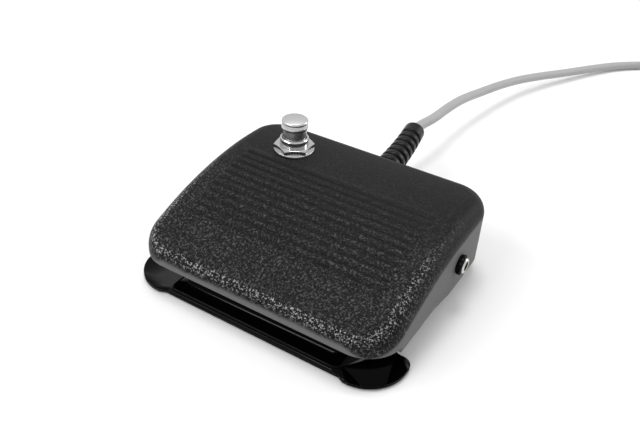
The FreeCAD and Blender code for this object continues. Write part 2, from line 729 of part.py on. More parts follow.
def base_rubber():
    """Feet below the deck, rest pads below the cover's rear edge, buffers."""
    for row, along in (("front", -1), ("rear", 1)):
        for side, sign in SIDES:
            small = TAPER * D.foot_radius
            foot = turned("foot_%s_%s" % (row, side),
                          [(0, 0), (small, 0), (D.foot_radius, deck_under), (0, deck_under)])
            put(foot, sign * (half_width - D.foot_side), along * (half_depth - D.foot_end), 0)
            node(foot, "foot_%s_%s" % (row, side))
    for side, sign in SIDES:
        middle = sign * (half_width - D.rest_side)
        xs = (middle - D.rest_length / 2, middle + D.rest_length / 2)
        rest_rear = half_depth - D.rest_back
        ys = (rest_rear - D.rest_depth, rest_rear)
        pad_zs = (D.floor_gap + D.sheet, D.skirt_rear - D.gap)
        node(box("rest_pad_" + side, xs, ys, pad_zs), "rest_pad_" + side)
        small = TAPER * D.buffer_radius
        waist = D.buffer_height / 2
        buffer = turned("buffer_" + side, [(0, 0), (D.buffer_radius, 0), (D.buffer_radius, waist),
                                           (small, D.buffer_height), (0, D.buffer_height)])
        put(buffer, sign * D.stop_across, stop_y, deck_top)
        node(buffer, "buffer_" + side)


# Hinge: a headed pin through lug, tab bush and boss on each side
def hinges():
    pin_start = lug_inside - D.pin_head
    groove = D.pin_head + D.lug_sheet + 2 * D.fit
    thin = D.pin_radius - D.pin_groove
    end = half_width - D.pin_skin - D.gap - pin_start
    groove_end = groove + D.ring_sheet + D.fit
    pin_outline = [(0, 0), (D.pin_head_radius, 0), (D.pin_head_radius, D.pin_head),
                   (D.pin_radius, D.pin_head), (D.pin_radius, groove), (thin, groove),
                   (thin, groove_end), (D.pin_radius, groove_end), (D.pin_radius, end), (0, end)]
    bore = D.pin_radius + D.fit
    seat = D.sheet + D.bush_lip
    bush_outline = [(bore, 0), (D.bush_radius, 0), (D.bush_radius, seat), (D.bush_flange, seat),
                    (D.bush_flange, seat + D.bush_lip), (bore, seat + D.bush_lip)]
    for side, sign in SIDES:
        turn = ALONG_X if sign > 0 else ALONG_MINUS_X
        pin = turned("hinge_pin_" + side, pin_outline)
        put(pin, sign * pin_start, hinge_y, hinge_z, turn)
        node(pin, "hinge_pin_" + side)
        bush = turned("hinge_bush_" + side, bush_outline)
        put(bush, sign * (tab_outside - seat), hinge_y, hinge_z, turn)
        node(bush, "hinge_bush_" + side)
        disc = rod(side + "_ring_disc", D.ring_radius, D.ring_sheet, 0, 0, 0)
        eye = rod(side + "_ring_eye", thin, 3 * D.ring_sheet, 0, 0, -D.ring_sheet)
        mouth = box(side + "_ring_mouth", (-0.8 * thin, 0.8 * thin), (0, 2 * D.ring_radius),
                    (-D.ring_sheet, 2 * D.ring_sheet))
        ring = less("pin_ring_" + side, disc, [eye, mouth])
        put(ring, sign * (pin_start + groove), hinge_y, hinge_z, turn)
        node(ring, "pin_ring_" + side)


def coil_spring(label, x, y, low, high, radius, wire, turns):
    """Round wire wound on a cylinder between two heights."""
    length = (high - low - 2 * wire).value
    helix = Part.makeHelix(length / turns, length, radius.value)
    section = Part.Wire(Part.makeCircle(wire.value, V(radius.value, 0, 0), Y_AXIS))
    item = feature(label, Part.Wire(helix).makePipeShell([section], True, True))
    put(item, x, y, low + wire)
    return node(item, label)


# Return springs between the deck and the cover
def springs():
    low = deck_top + D.seat_sheet
    slim = TAPER * D.spigot_radius
    spigot_top = D.seat_sheet + D.spigot_length
    seat_outline = [(0, 0), (D.seat_radius, 0), (D.seat_radius, D.seat_sheet),
                    (D.spigot_radius, D.seat_sheet), (slim, spigot_top), (0, spigot_top)]
    for side, sign in SIDES:
        x = sign * D.spring_across
        seat = turned("spring_seat_" + side, seat_outline)
        put(seat, x, spring_y, deck_top)
        node(seat, "spring_seat_" + side)
        coil_spring("return_spring_" + side, x, spring_y, low, spring_top(), D.spring_radius,
                    D.spring_wire, SPRING_TURNS)


def screw(label, length):
    """Small screw: its head stands on z = 0 and its shank points down."""
    rim = D.screw_rim * D.screw_head_radius
    return turned(label, [(0, -length), (D.screw_radius, -length), (D.screw_radius, 0),
                          (D.screw_head_radius, 0), (D.screw_head_radius, D.screw_head / 2),
                          (rim, D.screw_head), (0, D.screw_head)])


# Snap switch on its bracket, with lever and plunger
def snap_switch():
    ys = (case_front, case_back)
    block = box("switch_block", (D.case_left, case_right), ys, (deck_top, case_top))
    pieces = [block]
    holes = []
    cheek_start = D.lever_width / 2 + D.gap
    for name, x in (("a", case_middle - cheek_start - D.cheek), ("b", case_middle + cheek_start)):
        round_top = 1.6 * D.pivot_radius
        cheek_ys = (pivot_y - round_top, pivot_y + round_top)
        pieces.append(box("cheek_" + name, (x, x + D.cheek), cheek_ys, (case_top - 1, pivot_z)))
        pieces.append(rod("cheek_end_" + name, round_top, D.cheek, x, pivot_y, pivot_z, ALONG_X))
        holes.append(rod("pivot_hole_" + name, D.pivot_radius + D.fit, 3 * D.cheek, x - D.cheek, pivot_y,
                         pivot_z, ALONG_X))
    for number, y in enumerate(case_hole_ys()):
        holes.append(rod("case_hole_%d" % number, D.case_hole, D.case_width + 2, D.case_left - 1, y,
                         case_hole_z(), ALONG_X))
    plunger_y = pivot_y - D.plunger_reach
    hole_floor = case_top - D.plunger_depth - lever_turn * D.plunger_reach - D.gap
    hole_size = (D.plunger_radius + 2 * D.fit, D.plunger_depth + CUT_PAST)
    holes.append(rod("plunger_hole", *hole_size, case_middle, plunger_y, hole_floor))
    node(less("switch_case", fused("switch_solid", pieces), holes), "switch_case")

    strip = box("lever_strip", (-D.lever_width / 2, D.lever_width / 2), (-D.lever_reach, 0),
                (-D.lever_sheet / 2, D.lever_sheet / 2))
    half_roll = D.lever_width / 2 + D.gap + D.cheek
    roll = rod("lever_roll", D.pivot_radius, 2 * half_roll, -half_roll, 0, 0, ALONG_X)
    lever = fused("switch_lever", [strip, roll])
    put(lever, case_middle, pivot_y, pivot_z, (X_AXIS, -math.degrees(lever_turn.value)))
    node(lever, "switch_lever")

    top = pivot_z + lever_turn * D.plunger_reach - D.lever_sheet / 2 - D.gap
    tall = top - (case_top - D.plunger_depth)
    plunger = turned("switch_plunger", [(0, 0), (D.plunger_radius, 0), (D.plunger_radius, tall - 0.5),
                                        (0.5 * D.plunger_radius, tall), (0, tall)])
    put(plunger, case_middle, plunger_y, case_top - D.plunger_depth)
    node(plunger, "switch_plunger")

    blades = []
    for number, share in enumerate(BLADE_SHARES):
        z = deck_top + share * D.case_height
        blades.append(box("blade_%d" % number,
                          (case_middle - D.blade_width / 2, case_middle + D.blade_width / 2),
                          (case_back, case_back + D.blade_length), (z, z + D.lever_sheet)))
    node(group_of("switch_terminals", blades), "switch_terminals")

    thick = D.bracket_sheet
    foot = case_right + D.bracket_foot
    tall = deck_top + D.bracket_height
    angle = prism("bracket_angle", [(case_right, deck_top), (foot, deck_top), (foot, deck_top + thick),
                                    (case_right + thick, deck_top + thick), (case_right + thick, tall),
                                    (case_right, tall)],
                  D.case_length - 2 * D.bracket_end, plane="XZ_Plane", symmetric=True)
    put(angle, 0, case_back - D.case_length / 2, 0)
    wide = D.screw_radius + D.fit
    holes = []
    for number, y in enumerate(bracket_screw_ys()):
        holes.append(rod("foot_hole_%d" % number, wide, 3 * thick, bracket_screw_x(), y, deck_top - thick))
    for number, y in enumerate(case_hole_ys()):
        side_hole = (wide, 3 * thick, case_right - thick, y, case_hole_z(), ALONG_X)
        holes.append(rod("side_hole_%d" % number, *side_hole))
    node(less("switch_bracket", angle, holes), "switch_bracket")

    screws = []
    for number, y in enumerate(bracket_screw_ys()):
        item = screw("bracket_screw_%d" % number, thick + D.sheet + D.screw_past)
        put(item, bracket_screw_x(), y, deck_top + thick)
        screws.append(item)
    node(group_of("bracket_screws", screws), "bracket_screws")
    screws = []
    nuts = []
    for number, y in enumerate(case_hole_ys()):
        item = screw("case_screw_%d" % number, D.case_width + thick + D.small_nut_height + D.screw_past)
        put(item, D.case_left, y, case_hole_z(), ALONG_MINUS_X)
        screws.append(item)
        nut = prism("case_nut_%d" % number, hexagon(D.small_nut), D.small_nut_height,
                    holes=[(0, 0, D.screw_radius)])
        put(nut, case_right + thick, y, case_hole_z(), ALONG_X)
        nuts.append(nut)
    node(group_of("switch_screws", screws), "switch_screws")
    node(group_of("switch_nuts", nuts), "switch_nuts")


def case_hole_ys():
    return (case_front + D.case_hole_end, case_back - D.case_hole_end)


def case_hole_z():
    return deck_top + D.case_hole_rise


# Push button in the cover's rear left corner
def push_button():
    top = D.cover_top
    reach = D.bushing_drop + D.bushing_rise
    rim = D.bushing_radius - D.bushing_bevel
    bushing = turned("button_bushing", [(0, 0), (D.bushing_radius, 0),
                                        (D.bushing_radius, reach - D.bushing_bevel), (rim, reach),
                                        (D.bore_radius, reach), (D.bore_radius, D.bore_floor),
                                        (0, D.bore_floor)])
    put(bushing, button_x, button_y, top - D.bushing_drop)
    node(bushing, "button_bushing")

    eye = D.bushing_radius + D.fit
    washer = turned("button_washer", [(eye, 0), (D.washer_radius, 0), (D.washer_radius, D.washer_height),
                                      (eye, D.washer_height)])
    put(washer, button_x, button_y, top)
    node(washer, "button_washer")

    corner = D.nut_flats / math.sqrt(3)
    bevel = 0.35 * (corner - D.nut_flats / 2)
    hexagonal = prism("nut_hexagon", hexagon(D.nut_flats), D.nut_height, holes=[(0, 0, eye)])
    cone = turned("nut_bevel", [(0, 0), (corner, 0), (corner, D.nut_height - bevel),
                                (corner - 2 * bevel, D.nut_height), (0, D.nut_height)])
    nut = doc.addObject("Part::Common", "button_nut")
    nut.Base = hexagonal
    nut.Tool = cone
    put(nut, button_x, button_y, top + D.washer_height)
    node(nut, "button_nut")

    lock_nut = prism("button_lock_nut", hexagon(D.nut_flats), D.lock_nut_height, holes=[(0, 0, eye)])
    put(lock_nut, button_x, button_y, roof_under - D.lock_pad - D.lock_nut_height)
    node(lock_nut, "button_lock_nut")

    shank = D.bore_radius - D.fit
    under = D.bushing_rise + D.button_travel + D.cap_play + D.shank_drop
    ridge = under + 0.3 * D.cap_height
    groove = D.cap_radius - D.cap_groove
    crown = under + D.cap_height
    cap = turned("button_cap", [(0, 0), (shank, 0), (shank, under), (D.cap_radius, under),
                                (D.cap_radius, ridge), (groove, ridge + 0.6 * D.cap_groove),
                                (groove, ridge + 1.4 * D.cap_groove),
                                (D.cap_radius, ridge + 2 * D.cap_groove),
                                (D.cap_radius, crown - D.cap_round),
                                (D.cap_radius - D.cap_round, crown), (0, crown)])
    put(cap, button_x, button_y, top - D.shank_drop)
    node(cap, "button_cap")
    floor = top - D.bushing_drop + D.bore_floor
    coil_spring("button_spring", button_x, button_y, floor, top - D.shank_drop, D.button_spring_radius,
                D.button_spring_wire, BUTTON_SPRING_TURNS)

    can_floor = top - D.bushing_drop - D.can_height
    neck = 0.92 * D.can_radius
    bevel = 0.15 * D.can_height
    can = turned("button_can", [(0, 0), (neck, 0), (D.can_radius, bevel),
                                (D.can_radius, D.can_height - bevel),
                                (neck, D.can_height), (0, D.can_height)])
    put(can, button_x, button_y, can_floor)
    node(can, "button_can")
    lugs = []
    for number, shift in enumerate((-0.5, 0.5)):
        x = button_x + shift * D.can_radius
        lugs.append(box("button_lug_%d" % number, (x - D.lever_sheet / 2, x + D.lever_sheet / 2),
                        (button_y - D.lug_width / 2, button_y + D.lug_width / 2),
                        (can_floor - D.pin_lug_length, can_floor)))
    node(group_of("button_lugs", lugs), "button_lugs")


# Side socket in the cover's right wall
def side_socket():
    inner = half_width - D.wall
    through = D.wall + D.barrel_reach
    barrel = turned("socket_barrel", [(D.socket_bore, 0), (D.socket_thread, 0),
                                      (D.socket_thread, through - D.socket_bevel),
                                      (D.socket_thread - D.socket_bevel, through), (D.socket_bore, through)])
    put(barrel, inner, socket_y, D.socket_height, ALONG_X)
    node(barrel, "socket_barrel")
    eye = D.socket_thread + D.fit
    tall = D.ring_nut_height
    nut = turned("socket_nut", [(eye, 0), (D.ring_nut_radius, 0), (D.ring_nut_radius, tall - D.socket_bevel),
                                (D.ring_nut_radius - D.socket_bevel, tall), (eye, tall)])
    put(nut, half_width, socket_y, D.socket_height, ALONG_X)
    node(nut, "socket_nut")
    bore_end = half_width + D.barrel_reach - D.socket_depth
    back = bore_end - D.socket_back_wall
    block = box("socket_block", (back, inner), (socket_y - D.socket_width / 2, socket_y + D.socket_width / 2),
                (D.socket_height - D.socket_tall / 2, D.socket_height + D.socket_tall / 2))
    bore = rod("socket_hole", D.socket_bore, D.socket_depth, bore_end, socket_y, D.socket_height, ALONG_X)
    node(less("socket_housing", block, [bore]), "socket_housing")
    lugs = []
    for number, shift in enumerate((-0.3, 0, 0.3)):
        z = D.socket_height + shift * D.socket_tall
        lugs.append(box("socket_lug_%d" % number, (back - D.lug_length, back),
                        (socket_y - D.lug_width / 2, socket_y + D.lug_width / 2),
                        (z - D.lever_sheet / 2, z + D.lever_sheet / 2)))
    node(group_of("socket_lugs", lugs), "socket_lugs")


# Lead: strain relief, free stretch, coil of the rest, plug
SLEEVE_BEND = math.radians(12)
SLEEVE_STRAIGHT = 7.0


def along_sleeve(distance):
    """Point and direction of the strain relief's middle line past the flange.

    It leaves the flange square, then bends up and to the left on one arc.
    """
    start = flange_y.value + D.sheet.value
    height = D.relief_height.value
    bent = max(distance - SLEEVE_STRAIGHT, 0)
    radius = (D.relief_length.value - SLEEVE_STRAIGHT) / SLEEVE_BEND
    angle = bent / radius
    aside = V(-1, 0, 1).normalize()
    straight = min(distance, SLEEVE_STRAIGHT)
    ahead = start + straight + radius * math.sin(angle)
    point = V(0, ahead, height) + aside * (radius * (1 - math.cos(angle)))
    return point, V(0, math.cos(angle), 0) + aside * math.sin(angle)


def strain_relief():
    """Collars on both sides of the flange and a grooved, tapered sleeve."""
    length = D.relief_length.value
    stations = [(SLEEVE_STRAIGHT / 2, D.relief_ridge)]
    distance = SLEEVE_STRAIGHT + 2
    bevel = D.relief_bevel.value
    while distance + D.relief_pitch.value < length:
        ridge = D.relief_ridge + distance / length * (D.relief_tip - D.relief_ridge)
        groove_end = distance + D.relief_groove_length.value
        stations += [(distance, ridge), (distance + bevel, ridge - D.relief_groove),
                     (groove_end - bevel, ridge - D.relief_groove), (groove_end, ridge)]
        distance += D.relief_pitch.value
    stations += [(length - 2 * bevel, D.relief_tip), (length, D.relief_tip - 2 * bevel)]
    rings = []
    for distance, radius in stations:
        point, direction = along_sleeve(distance)
        rings.append(Part.Wire(Part.makeCircle(radius.value, point, direction)))
    sleeve = feature("relief_sleeve", Part.makeLoft(rings, True, True))
    outside = flange_y + D.sheet
    inner = (D.relief_collar, D.relief_collar_length, 0, flange_y - D.relief_collar_length)
    neck = (D.relief_neck, D.sheet, 0, flange_y)
    outer = (D.relief_shoulder, SLEEVE_STRAIGHT / 2 + 0.5, 0, outside)
    collars = [rod("relief_collar_%d" % number, *sizes, D.relief_height, ALONG_Y)
               for number, sizes in enumerate((inner, neck, outer))]
    node(fused("strain_relief", collars + [sleeve]), "strain_relief")


def tube(label, points, radius):
    """Straight runs joined by tangent arcs, as large as the runs allow."""
    edges = []
    length = 0
    start = points[0]
    for before, corner, after in zip(points, points[1:], points[2:]):
        first = (corner - before).normalize()
        second = (after - corner).normalize()
        turn = first.getAngle(second)
        shorter = min((corner - before).Length, (after - corner).Length)
        trim = 0.45 * shorter
        bend = trim / math.tan(turn / 2)
        arc_start = corner - first * trim
        arc_end = corner + second * trim
        inward = (second - first).normalize()
        centre = corner + inward * (bend / math.cos(turn / 2))
        middle = centre - inward * bend
        edges.append(Part.LineSegment(start, arc_start).toShape())
        edges.append(Part.Arc(arc_start, middle, arc_end).toShape())
        length += (arc_start - start).Length + bend * turn
        start = arc_end
        print("%s: bend of radius %.1f, turn %.1f degrees" % (label, bend, math.degrees(turn)))
    edges.append(Part.LineSegment(start, points[-1]).toShape())
    length += (points[-1] - start).Length
    path = Part.Wire(edges)
    section = Part.Wire(Part.makeCircle(radius.value, points[0], points[1] - points[0]))
    shape = path.makePipeShell([section], True, True)
    expected = math.pi * radius.value ** 2 * length
    print("%s: %.1f long, volume is %.4f of section times length" % (label, length, shape.Volume / expected))
    if abs(shape.Volume / expected - 1) > 0.01:
        raise ValueError(label + " is not a clean tube")
    node(feature(label, shape), label)


LEAD_ROUTE = (V(-4.0, 104.0, 22.2), V(-3.2, 121.0, 20.2), V(-1.0, 139.0, 17.2), V(1.6, 158.0, 14.4),
              V(4.6, 178.0, 11.8), V(9.5, 198.5, 9.2), V(17.3, 217.8, 6.9), V(26.8, 236.5, 5.0),
              V(36.8, 255.5, 3.7), V(47.6, 272.5, 2.8), V(60.3, 285.0, 2.4), V(75.5, 295.0, 2.3),
              V(92.8, 305.2, 2.3))
COIL_CENTRE = V(112.9, 271.1, 0)
END_ROUTE = (V(152.3, 274.6, 2.3), V(152.8, 267.7, 2.4), V(153.2, 260.7, 4.0), V(153.5, 253.7, 4.0))


def lead():
    strain_relief()
    relief_start = flange_y - D.relief_collar_length
    tail_start = relief_start - D.tail_length
    tail = rod("lead_tail", D.lead_radius, D.tail_length, 0, tail_start, D.relief_height, ALONG_Y)
    node(tail, "lead_tail")
    relief_end, direction = along_sleeve(D.relief_length.value)
    points = (relief_end, relief_end + direction * 9) + LEAD_ROUTE
    tube("lead", points, D.lead_radius)
    ring = turned("lead_coil", [(D.coil_inside, 0), (D.coil_outside, 0), (D.coil_outside, D.coil_height),
                                (D.coil_inside, D.coil_height)])
    put(ring, COIL_CENTRE.x, COIL_CENTRE.y, COIL_CENTRE.z)
    node(ring, "lead_coil")
    tube("lead_end", END_ROUTE, D.lead_radius)
    heading = (END_ROUTE[-1] - END_ROUTE[-2]).normalize()
    turn = (Z_AXIS, math.degrees(math.atan2(-heading.x, heading.y)))
    level_turn = FreeCAD.Rotation(*turn).multiply(FreeCAD.Rotation(*ALONG_Y))
    flat = V(heading.x, heading.y, 0).normalize()
    grip = turned("plug_grip", [(0, 0), (0.55 * D.plug_radius, 0), (D.plug_radius, 0.4 * D.plug_length),
                                (D.plug_radius, D.plug_length), (0, D.plug_length)])
    grip.Placement = FreeCAD.Placement(END_ROUTE[-1], level_turn)
    node(grip, "plug_grip")
    tip = D.plug_pin_length
    waist = 0.75 * D.plug_pin_radius
    pin = turned("plug_pin", [(0, 0), (D.plug_pin_radius, 0), (D.plug_pin_radius, 0.75 * tip),
                              (waist, 0.82 * tip), (0.95 * D.plug_pin_radius, 0.9 * tip),
                              (0.3 * D.plug_pin_radius, tip), (0, tip)])
    pin.Placement = FreeCAD.Placement(END_ROUTE[-1] + flat * D.plug_length.value, level_turn)
    node(pin, "plug_pin")


def check_and_write():
    """Stops at any failed step, then writes one file for each sub-part."""
    doc.recompute()
    for item in doc.Objects:
        bad = [word for word in item.State if word in ("Invalid", "Error")]
        if bad:
            raise ValueError("%s is %s" % (item.Name, bad))
    os.makedirs("parts", exist_ok=True)
    for item in NODES:
        if item.Shape.isNull() or not item.Shape.isValid():
            raise ValueError(item.Label + " has no valid shape")
        item.Shape.exportStep("parts/%s.step" % item.Label)
    print("%d sub-parts" % len(NODES))


cover()
base_plate()
base_rubber()
hinges()
springs()
snap_switch()
push_button()
side_socket()
lead()
check_and_write()
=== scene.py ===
import math

import bpy
import bmesh
from bpy.props import FloatProperty, FloatVectorProperty, IntProperty, PointerProperty
from mathutils import Matrix, Vector


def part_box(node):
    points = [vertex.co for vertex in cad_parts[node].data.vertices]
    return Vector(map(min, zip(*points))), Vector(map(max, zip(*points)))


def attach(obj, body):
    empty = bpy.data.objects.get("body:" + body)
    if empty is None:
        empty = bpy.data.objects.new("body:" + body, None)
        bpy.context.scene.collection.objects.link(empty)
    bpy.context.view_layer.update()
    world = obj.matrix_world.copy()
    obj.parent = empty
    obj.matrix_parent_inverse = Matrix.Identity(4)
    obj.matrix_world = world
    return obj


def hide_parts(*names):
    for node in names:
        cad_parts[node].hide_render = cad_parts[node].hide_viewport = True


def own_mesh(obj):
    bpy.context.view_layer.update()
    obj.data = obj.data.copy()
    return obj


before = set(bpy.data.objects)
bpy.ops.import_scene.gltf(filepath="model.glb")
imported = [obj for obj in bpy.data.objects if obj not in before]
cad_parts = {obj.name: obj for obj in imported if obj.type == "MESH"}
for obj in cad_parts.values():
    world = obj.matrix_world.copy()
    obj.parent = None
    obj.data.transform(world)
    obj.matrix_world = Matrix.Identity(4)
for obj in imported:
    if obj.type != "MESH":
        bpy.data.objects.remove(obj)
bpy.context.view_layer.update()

bl_info = {
    "name": "Foot switch",
    "version": (1, 0, 0),
    "blender": (4, 5, 0),
    "location": "3D View > Sidebar > Foot switch",
    "description": "Dresses a foot switch: grained cover, enamelled plate, chrome button, lead",
    "category": "Object",
}

MM = 0.001
FIT = 0.05 * MM  # air between pieces that fit into each other


def placed(name, data):
    """A new object in the scene."""
    item = bpy.data.objects.new(name, data)
    bpy.context.scene.collection.objects.link(item)
    return item


# Sizes and colours that a user would change
def length(name, default, description):
    return FloatProperty(name=name, description=description, default=default * MM, min=0.0,
                         subtype="DISTANCE", unit="LENGTH", precision=5)


def colour(name, default, description):
    return FloatVectorProperty(name=name, description=description, default=default, min=0.0, max=1.0,
                               subtype="COLOR", size=3)


class FOOTSWITCH_PG_cover(bpy.types.PropertyGroup):
    """Finish of the moulded cover"""
    # Painted shade: dark colour put in the hollows between the grains and in the valleys between the ribs
    painted_shade: colour("Pits", (0.0015, 0.0015, 0.0015), "Colour between the grains")
    tint: colour("Colour", (0.010, 0.010, 0.0104), "Colour of the grained top")
    # Painted glints: pale colour put on the tips of the grains
    peak_glint: colour("Peaks", (0.080, 0.080, 0.080), "Colour of the grains' rubbed tips")
    # Painted highlight: pale colour put on the grain tips round the top's rim, where the front light glints on the
    # rounding
    painted_highlight: colour("Highlit rim", (0.36, 0.36, 0.36), "Colour of the tips round the top's rim")
    # Painted sheen: the walls are coloured far paler than the black top, for the light on them
    wall: colour("Walls", (0.140, 0.140, 0.142), "Colour of the smooth walls")
    grain_size: length("Grain", 0.80, "Size of the grains on the top")
    grain_height: length("Grain height", 0.22, "Height of the grains")
    crown_radius: length("Crown", 138.0, "Radius of the arched top")
    crest: length("Crest", 22.1, "Crest of the arch, behind the middle")
    crest_height: length("Crest height", 33.4, "Crest of the arch above the floor")
    rib_count: IntProperty(name="Ribs", description="Grip ribs across the top", default=12, min=1, max=30)
    rib_pitch: length("Rib pitch", 3.493, "Distance between two ribs")
    rib_first: length("First rib", 11.72, "Place of the rearmost rib, behind the middle")
    rib_reach: length("Rib reach", 40.2, "End of a rib from the middle")
    rib_round: length("Rib radius", 5.0, "Radius of a rib's back")
    rib_rise: length("Rib height", 0.30, "Height of a rib above the arch")


class FOOTSWITCH_PG_metal(bpy.types.PropertyGroup):
    """Finish of plate, button and socket"""
    enamel: colour("Enamel", (0.001, 0.001, 0.0011), "Gloss enamel of the plate")
    chrome: colour("Chrome", (0.60, 0.60, 0.60), "Chrome plate of the button")
    nut_radius: length("Ring nut", 3.55, "Radius of the socket's ring nut")
    nut_height: length("Ring nut height", 2.3, "Height of the socket's ring nut")
    knurls: IntProperty(name="Knurls", description="Ridges round the socket's nut", default=28, min=8, max=80)
    knurl: length("Knurl", 0.42, "Width of one ridge on the socket's nut")


class FOOTSWITCH_PG_button(bpy.types.PropertyGroup):
    """Sizes of the push button above the cover"""
    side: length("Side", 25.7, "Button axis, left of the middle")
    behind: length("Behind", 22.1, "Button axis, behind the middle")
    seat: length("Seat", 33.4, "Cover below the washer, above the floor")
    bushing: length("Bushing", 5.6, "Radius of the threaded bushing")
    bushing_rise: length("Bushing rise", 5.6, "Bushing above the cover")
    bore: length("Bore", 4.85, "Radius of the bushing's bore")
    shank: length("Shank", 4.7, "Radius of the button's shank")
    washer: length("Washer", 8.0, "Radius of the washer")
    washer_height: length("Washer height", 0.8, "Thickness of the washer")
    nut_flats: length("Flats", 14.0, "Hexagonal nut across its flats")
    nut_height: length("Nut", 1.9, "Height of the hexagonal nut")
    cap: length("Cap", 5.2, "Radius of the cap")
    cap_height: length("Cap height", 3.8, "Height of the cap")
    cap_top: length("Cap top", 46.5, "End of the cap above the floor")


class FOOTSWITCH_PG_relief(bpy.types.PropertyGroup):
    """Sizes of the strain relief"""
    start: length("Start", 37.6, "Rear face of the flange, behind the middle")
    height: length("Height", 17.3, "Middle of the strain relief above the floor")
    straight: length("Straight", 7.0, "Straight part behind the flange")
    bend: FloatProperty(name="Bend", description="Bend of the rest", default=math.radians(12), subtype="ANGLE",
                        unit="ROTATION")
    long: length("Length", 50.4, "Sleeve outside the flange")
    root: length("Root", 6.1, "Radius of the ridges at the root")
    tip: length("Tip", 4.7, "Radius of the plain end")
    groove: length("Groove", 1.5, "Depth of a groove")
    pitch: length("Pitch", 4.35, "Distance between two grooves")
    grooves: IntProperty(name="Grooves", description="Grooves round the sleeve", default=8, min=1, max=20)
    cuff: length("Cuff", 7.0, "Plain end beyond the last groove")


class FOOTSWITCH_PG_lead(bpy.types.PropertyGroup):
    """Sizes and colour of the lead"""
    tint: colour("Colour", (0.40, 0.40, 0.40), "Sheath of the lead")
    diameter: length("Diameter", 4.5, "Outer diameter of the lead")
    turn_middle: length("Turns", 25.5, "Radius of the middle turns of the coil")
    turn_pitch: length("Pitch", 4.7, "Distance between two turns side by side")
    layer_pitch: length("Layers", 4.6, "Distance between two layers")
    coil_lift: length("Lift", 0.45, "Room for the tie below the coil")
    tie_width: length("Tie width", 3.6, "Width of the coil's tie")
    tie_sheet: length("Tie", 0.38, "Thickness of the coil's tie")


class FOOTSWITCH_PG_stage(bpy.types.PropertyGroup):
    """Camera, floor and light"""
    camera: FloatVectorProperty(name="Camera", description="Place of the camera", size=3, subtype="XYZ",
                                unit="LENGTH", default=(0.11157, -0.19208, 0.17811))
    turn: FloatVectorProperty(name="Turn", description="Camera's yaw, pitch and roll in degrees", size=3,
                              default=(30.025, 34.544, 3.38))
    lens: FloatProperty(name="Lens", description="Focal length on a 36 mm sensor", default=41.68, min=1.0,
                        unit="CAMERA")
    light: FloatProperty(name="Light", description="Strength of the three lamps", default=1.0, min=0.0)
    sky: FloatProperty(name="Sky", description="Strength of the light from all sides", default=0.56, min=0.0)
    backdrop: FloatProperty(name="Backdrop", description="Sky as seen and mirrored", default=0.8, min=0.0)


# Materials
class Wire:
    """An output of a node; arithmetic on it adds Math nodes."""

    def __init__(self, maker, socket):
        self.maker = maker
        self.socket = socket

    def math(self, operation, *others):
        return self.maker.node("Math", {"operation": operation}, self, *others)[0]

    def __add__(self, other):
        return self.math("ADD", other)

    __radd__ = __add__

    def __sub__(self, other):
        return self.math("SUBTRACT", other)

    def __rsub__(self, other):
        return (self * -1.0) + other

    def __mul__(self, other):
        return self.math("MULTIPLY", other)

    __rmul__ = __mul__

    def __truediv__(self, other):
        return self.math("DIVIDE", other)

    def __pow__(self, other):
        return self.math("POWER", other)

    def step(self, low, high):
        """0 below low, 1 above high, smooth between them."""
        return self.maker.node("MapRange", {"interpolation_type": "SMOOTHSTEP"}, self, low, high, 0.0, 1.0)[0]


class NodeMaker:
    """Adds nodes to a tree, with their settings and inputs."""
    family = "ShaderNode"

    def link(self, value, socket):
        if isinstance(value, Wire):
            self.tree.links.new(value.socket, socket)
        elif hasattr(value, "__len__") and len(value) == 3 and socket.type == "RGBA":
            socket.default_value = (*value, 1.0)
        else:
            socket.default_value = value

    def node(self, kind, settings=None, *values, **named):
        """Adds a node: its settings first, then its inputs by place or by name."""
        family = "ShaderNode" if kind in ("Math", "MapRange", "CombineXYZ", "SeparateXYZ") else self.family
        item = self.tree.nodes.new(family + kind)
        for key, value in (settings or {}).items():
            setattr(item, key, value)
        usable = [socket for socket in item.inputs if socket.enabled]
        for socket, value in zip(usable, values):
            if value is not None:
                self.link(value, socket)
        for key, value in named.items():
            self.link(value, next(s for s in usable if s.name == key.replace("_", " ")))
        return [Wire(self, socket) for socket in item.outputs if socket.enabled]


class Finish(NodeMaker):
    """A node material for one finish of the foot switch."""

    def __init__(self, name, tint, roughness, metallic=0.0, **plain):
        self.material = bpy.data.materials.new(name)
        self.material.use_nodes = True
        self.tree = self.material.node_tree
        self.shader = self.tree.nodes["Principled BSDF"]
        self.set("Base Color", tint)
        self.set("Roughness", roughness)
        self.set("Metallic", metallic)
        for socket, value in plain.items():
            self.set(socket.replace("_", " "), value)
        self.material.diffuse_color = (*tint, 1.0)

    def set(self, socket, value):
        self.link(value, self.shader.inputs[socket])

    def place(self):
        """The point in the object's own coordinates."""
        return self.node("TexCoord")[3]

    def axes(self):
        return self.node("SeparateXYZ", None, self.place())

    def noise(self, scale, detail=2.0, rough=0.5):
        """Noise around 0.5 at so many features for each metre."""
        return self.node("TexNoise", None, self.place(), Scale=scale, Detail=detail, Roughness=rough)[0]

    def mix(self, factor, first, second):
        return self.node("Mix", {"data_type": "RGBA"}, Factor=factor, A=first, B=second)[0]

    def bump(self, height, distance):
        return self.node("Bump", None, Strength=1.0, Distance=distance, Height=height)[0]


def shade(tint, factor):
    """A colour that many times as bright."""
    return tuple(min(1.0, factor * part) for part in tint)


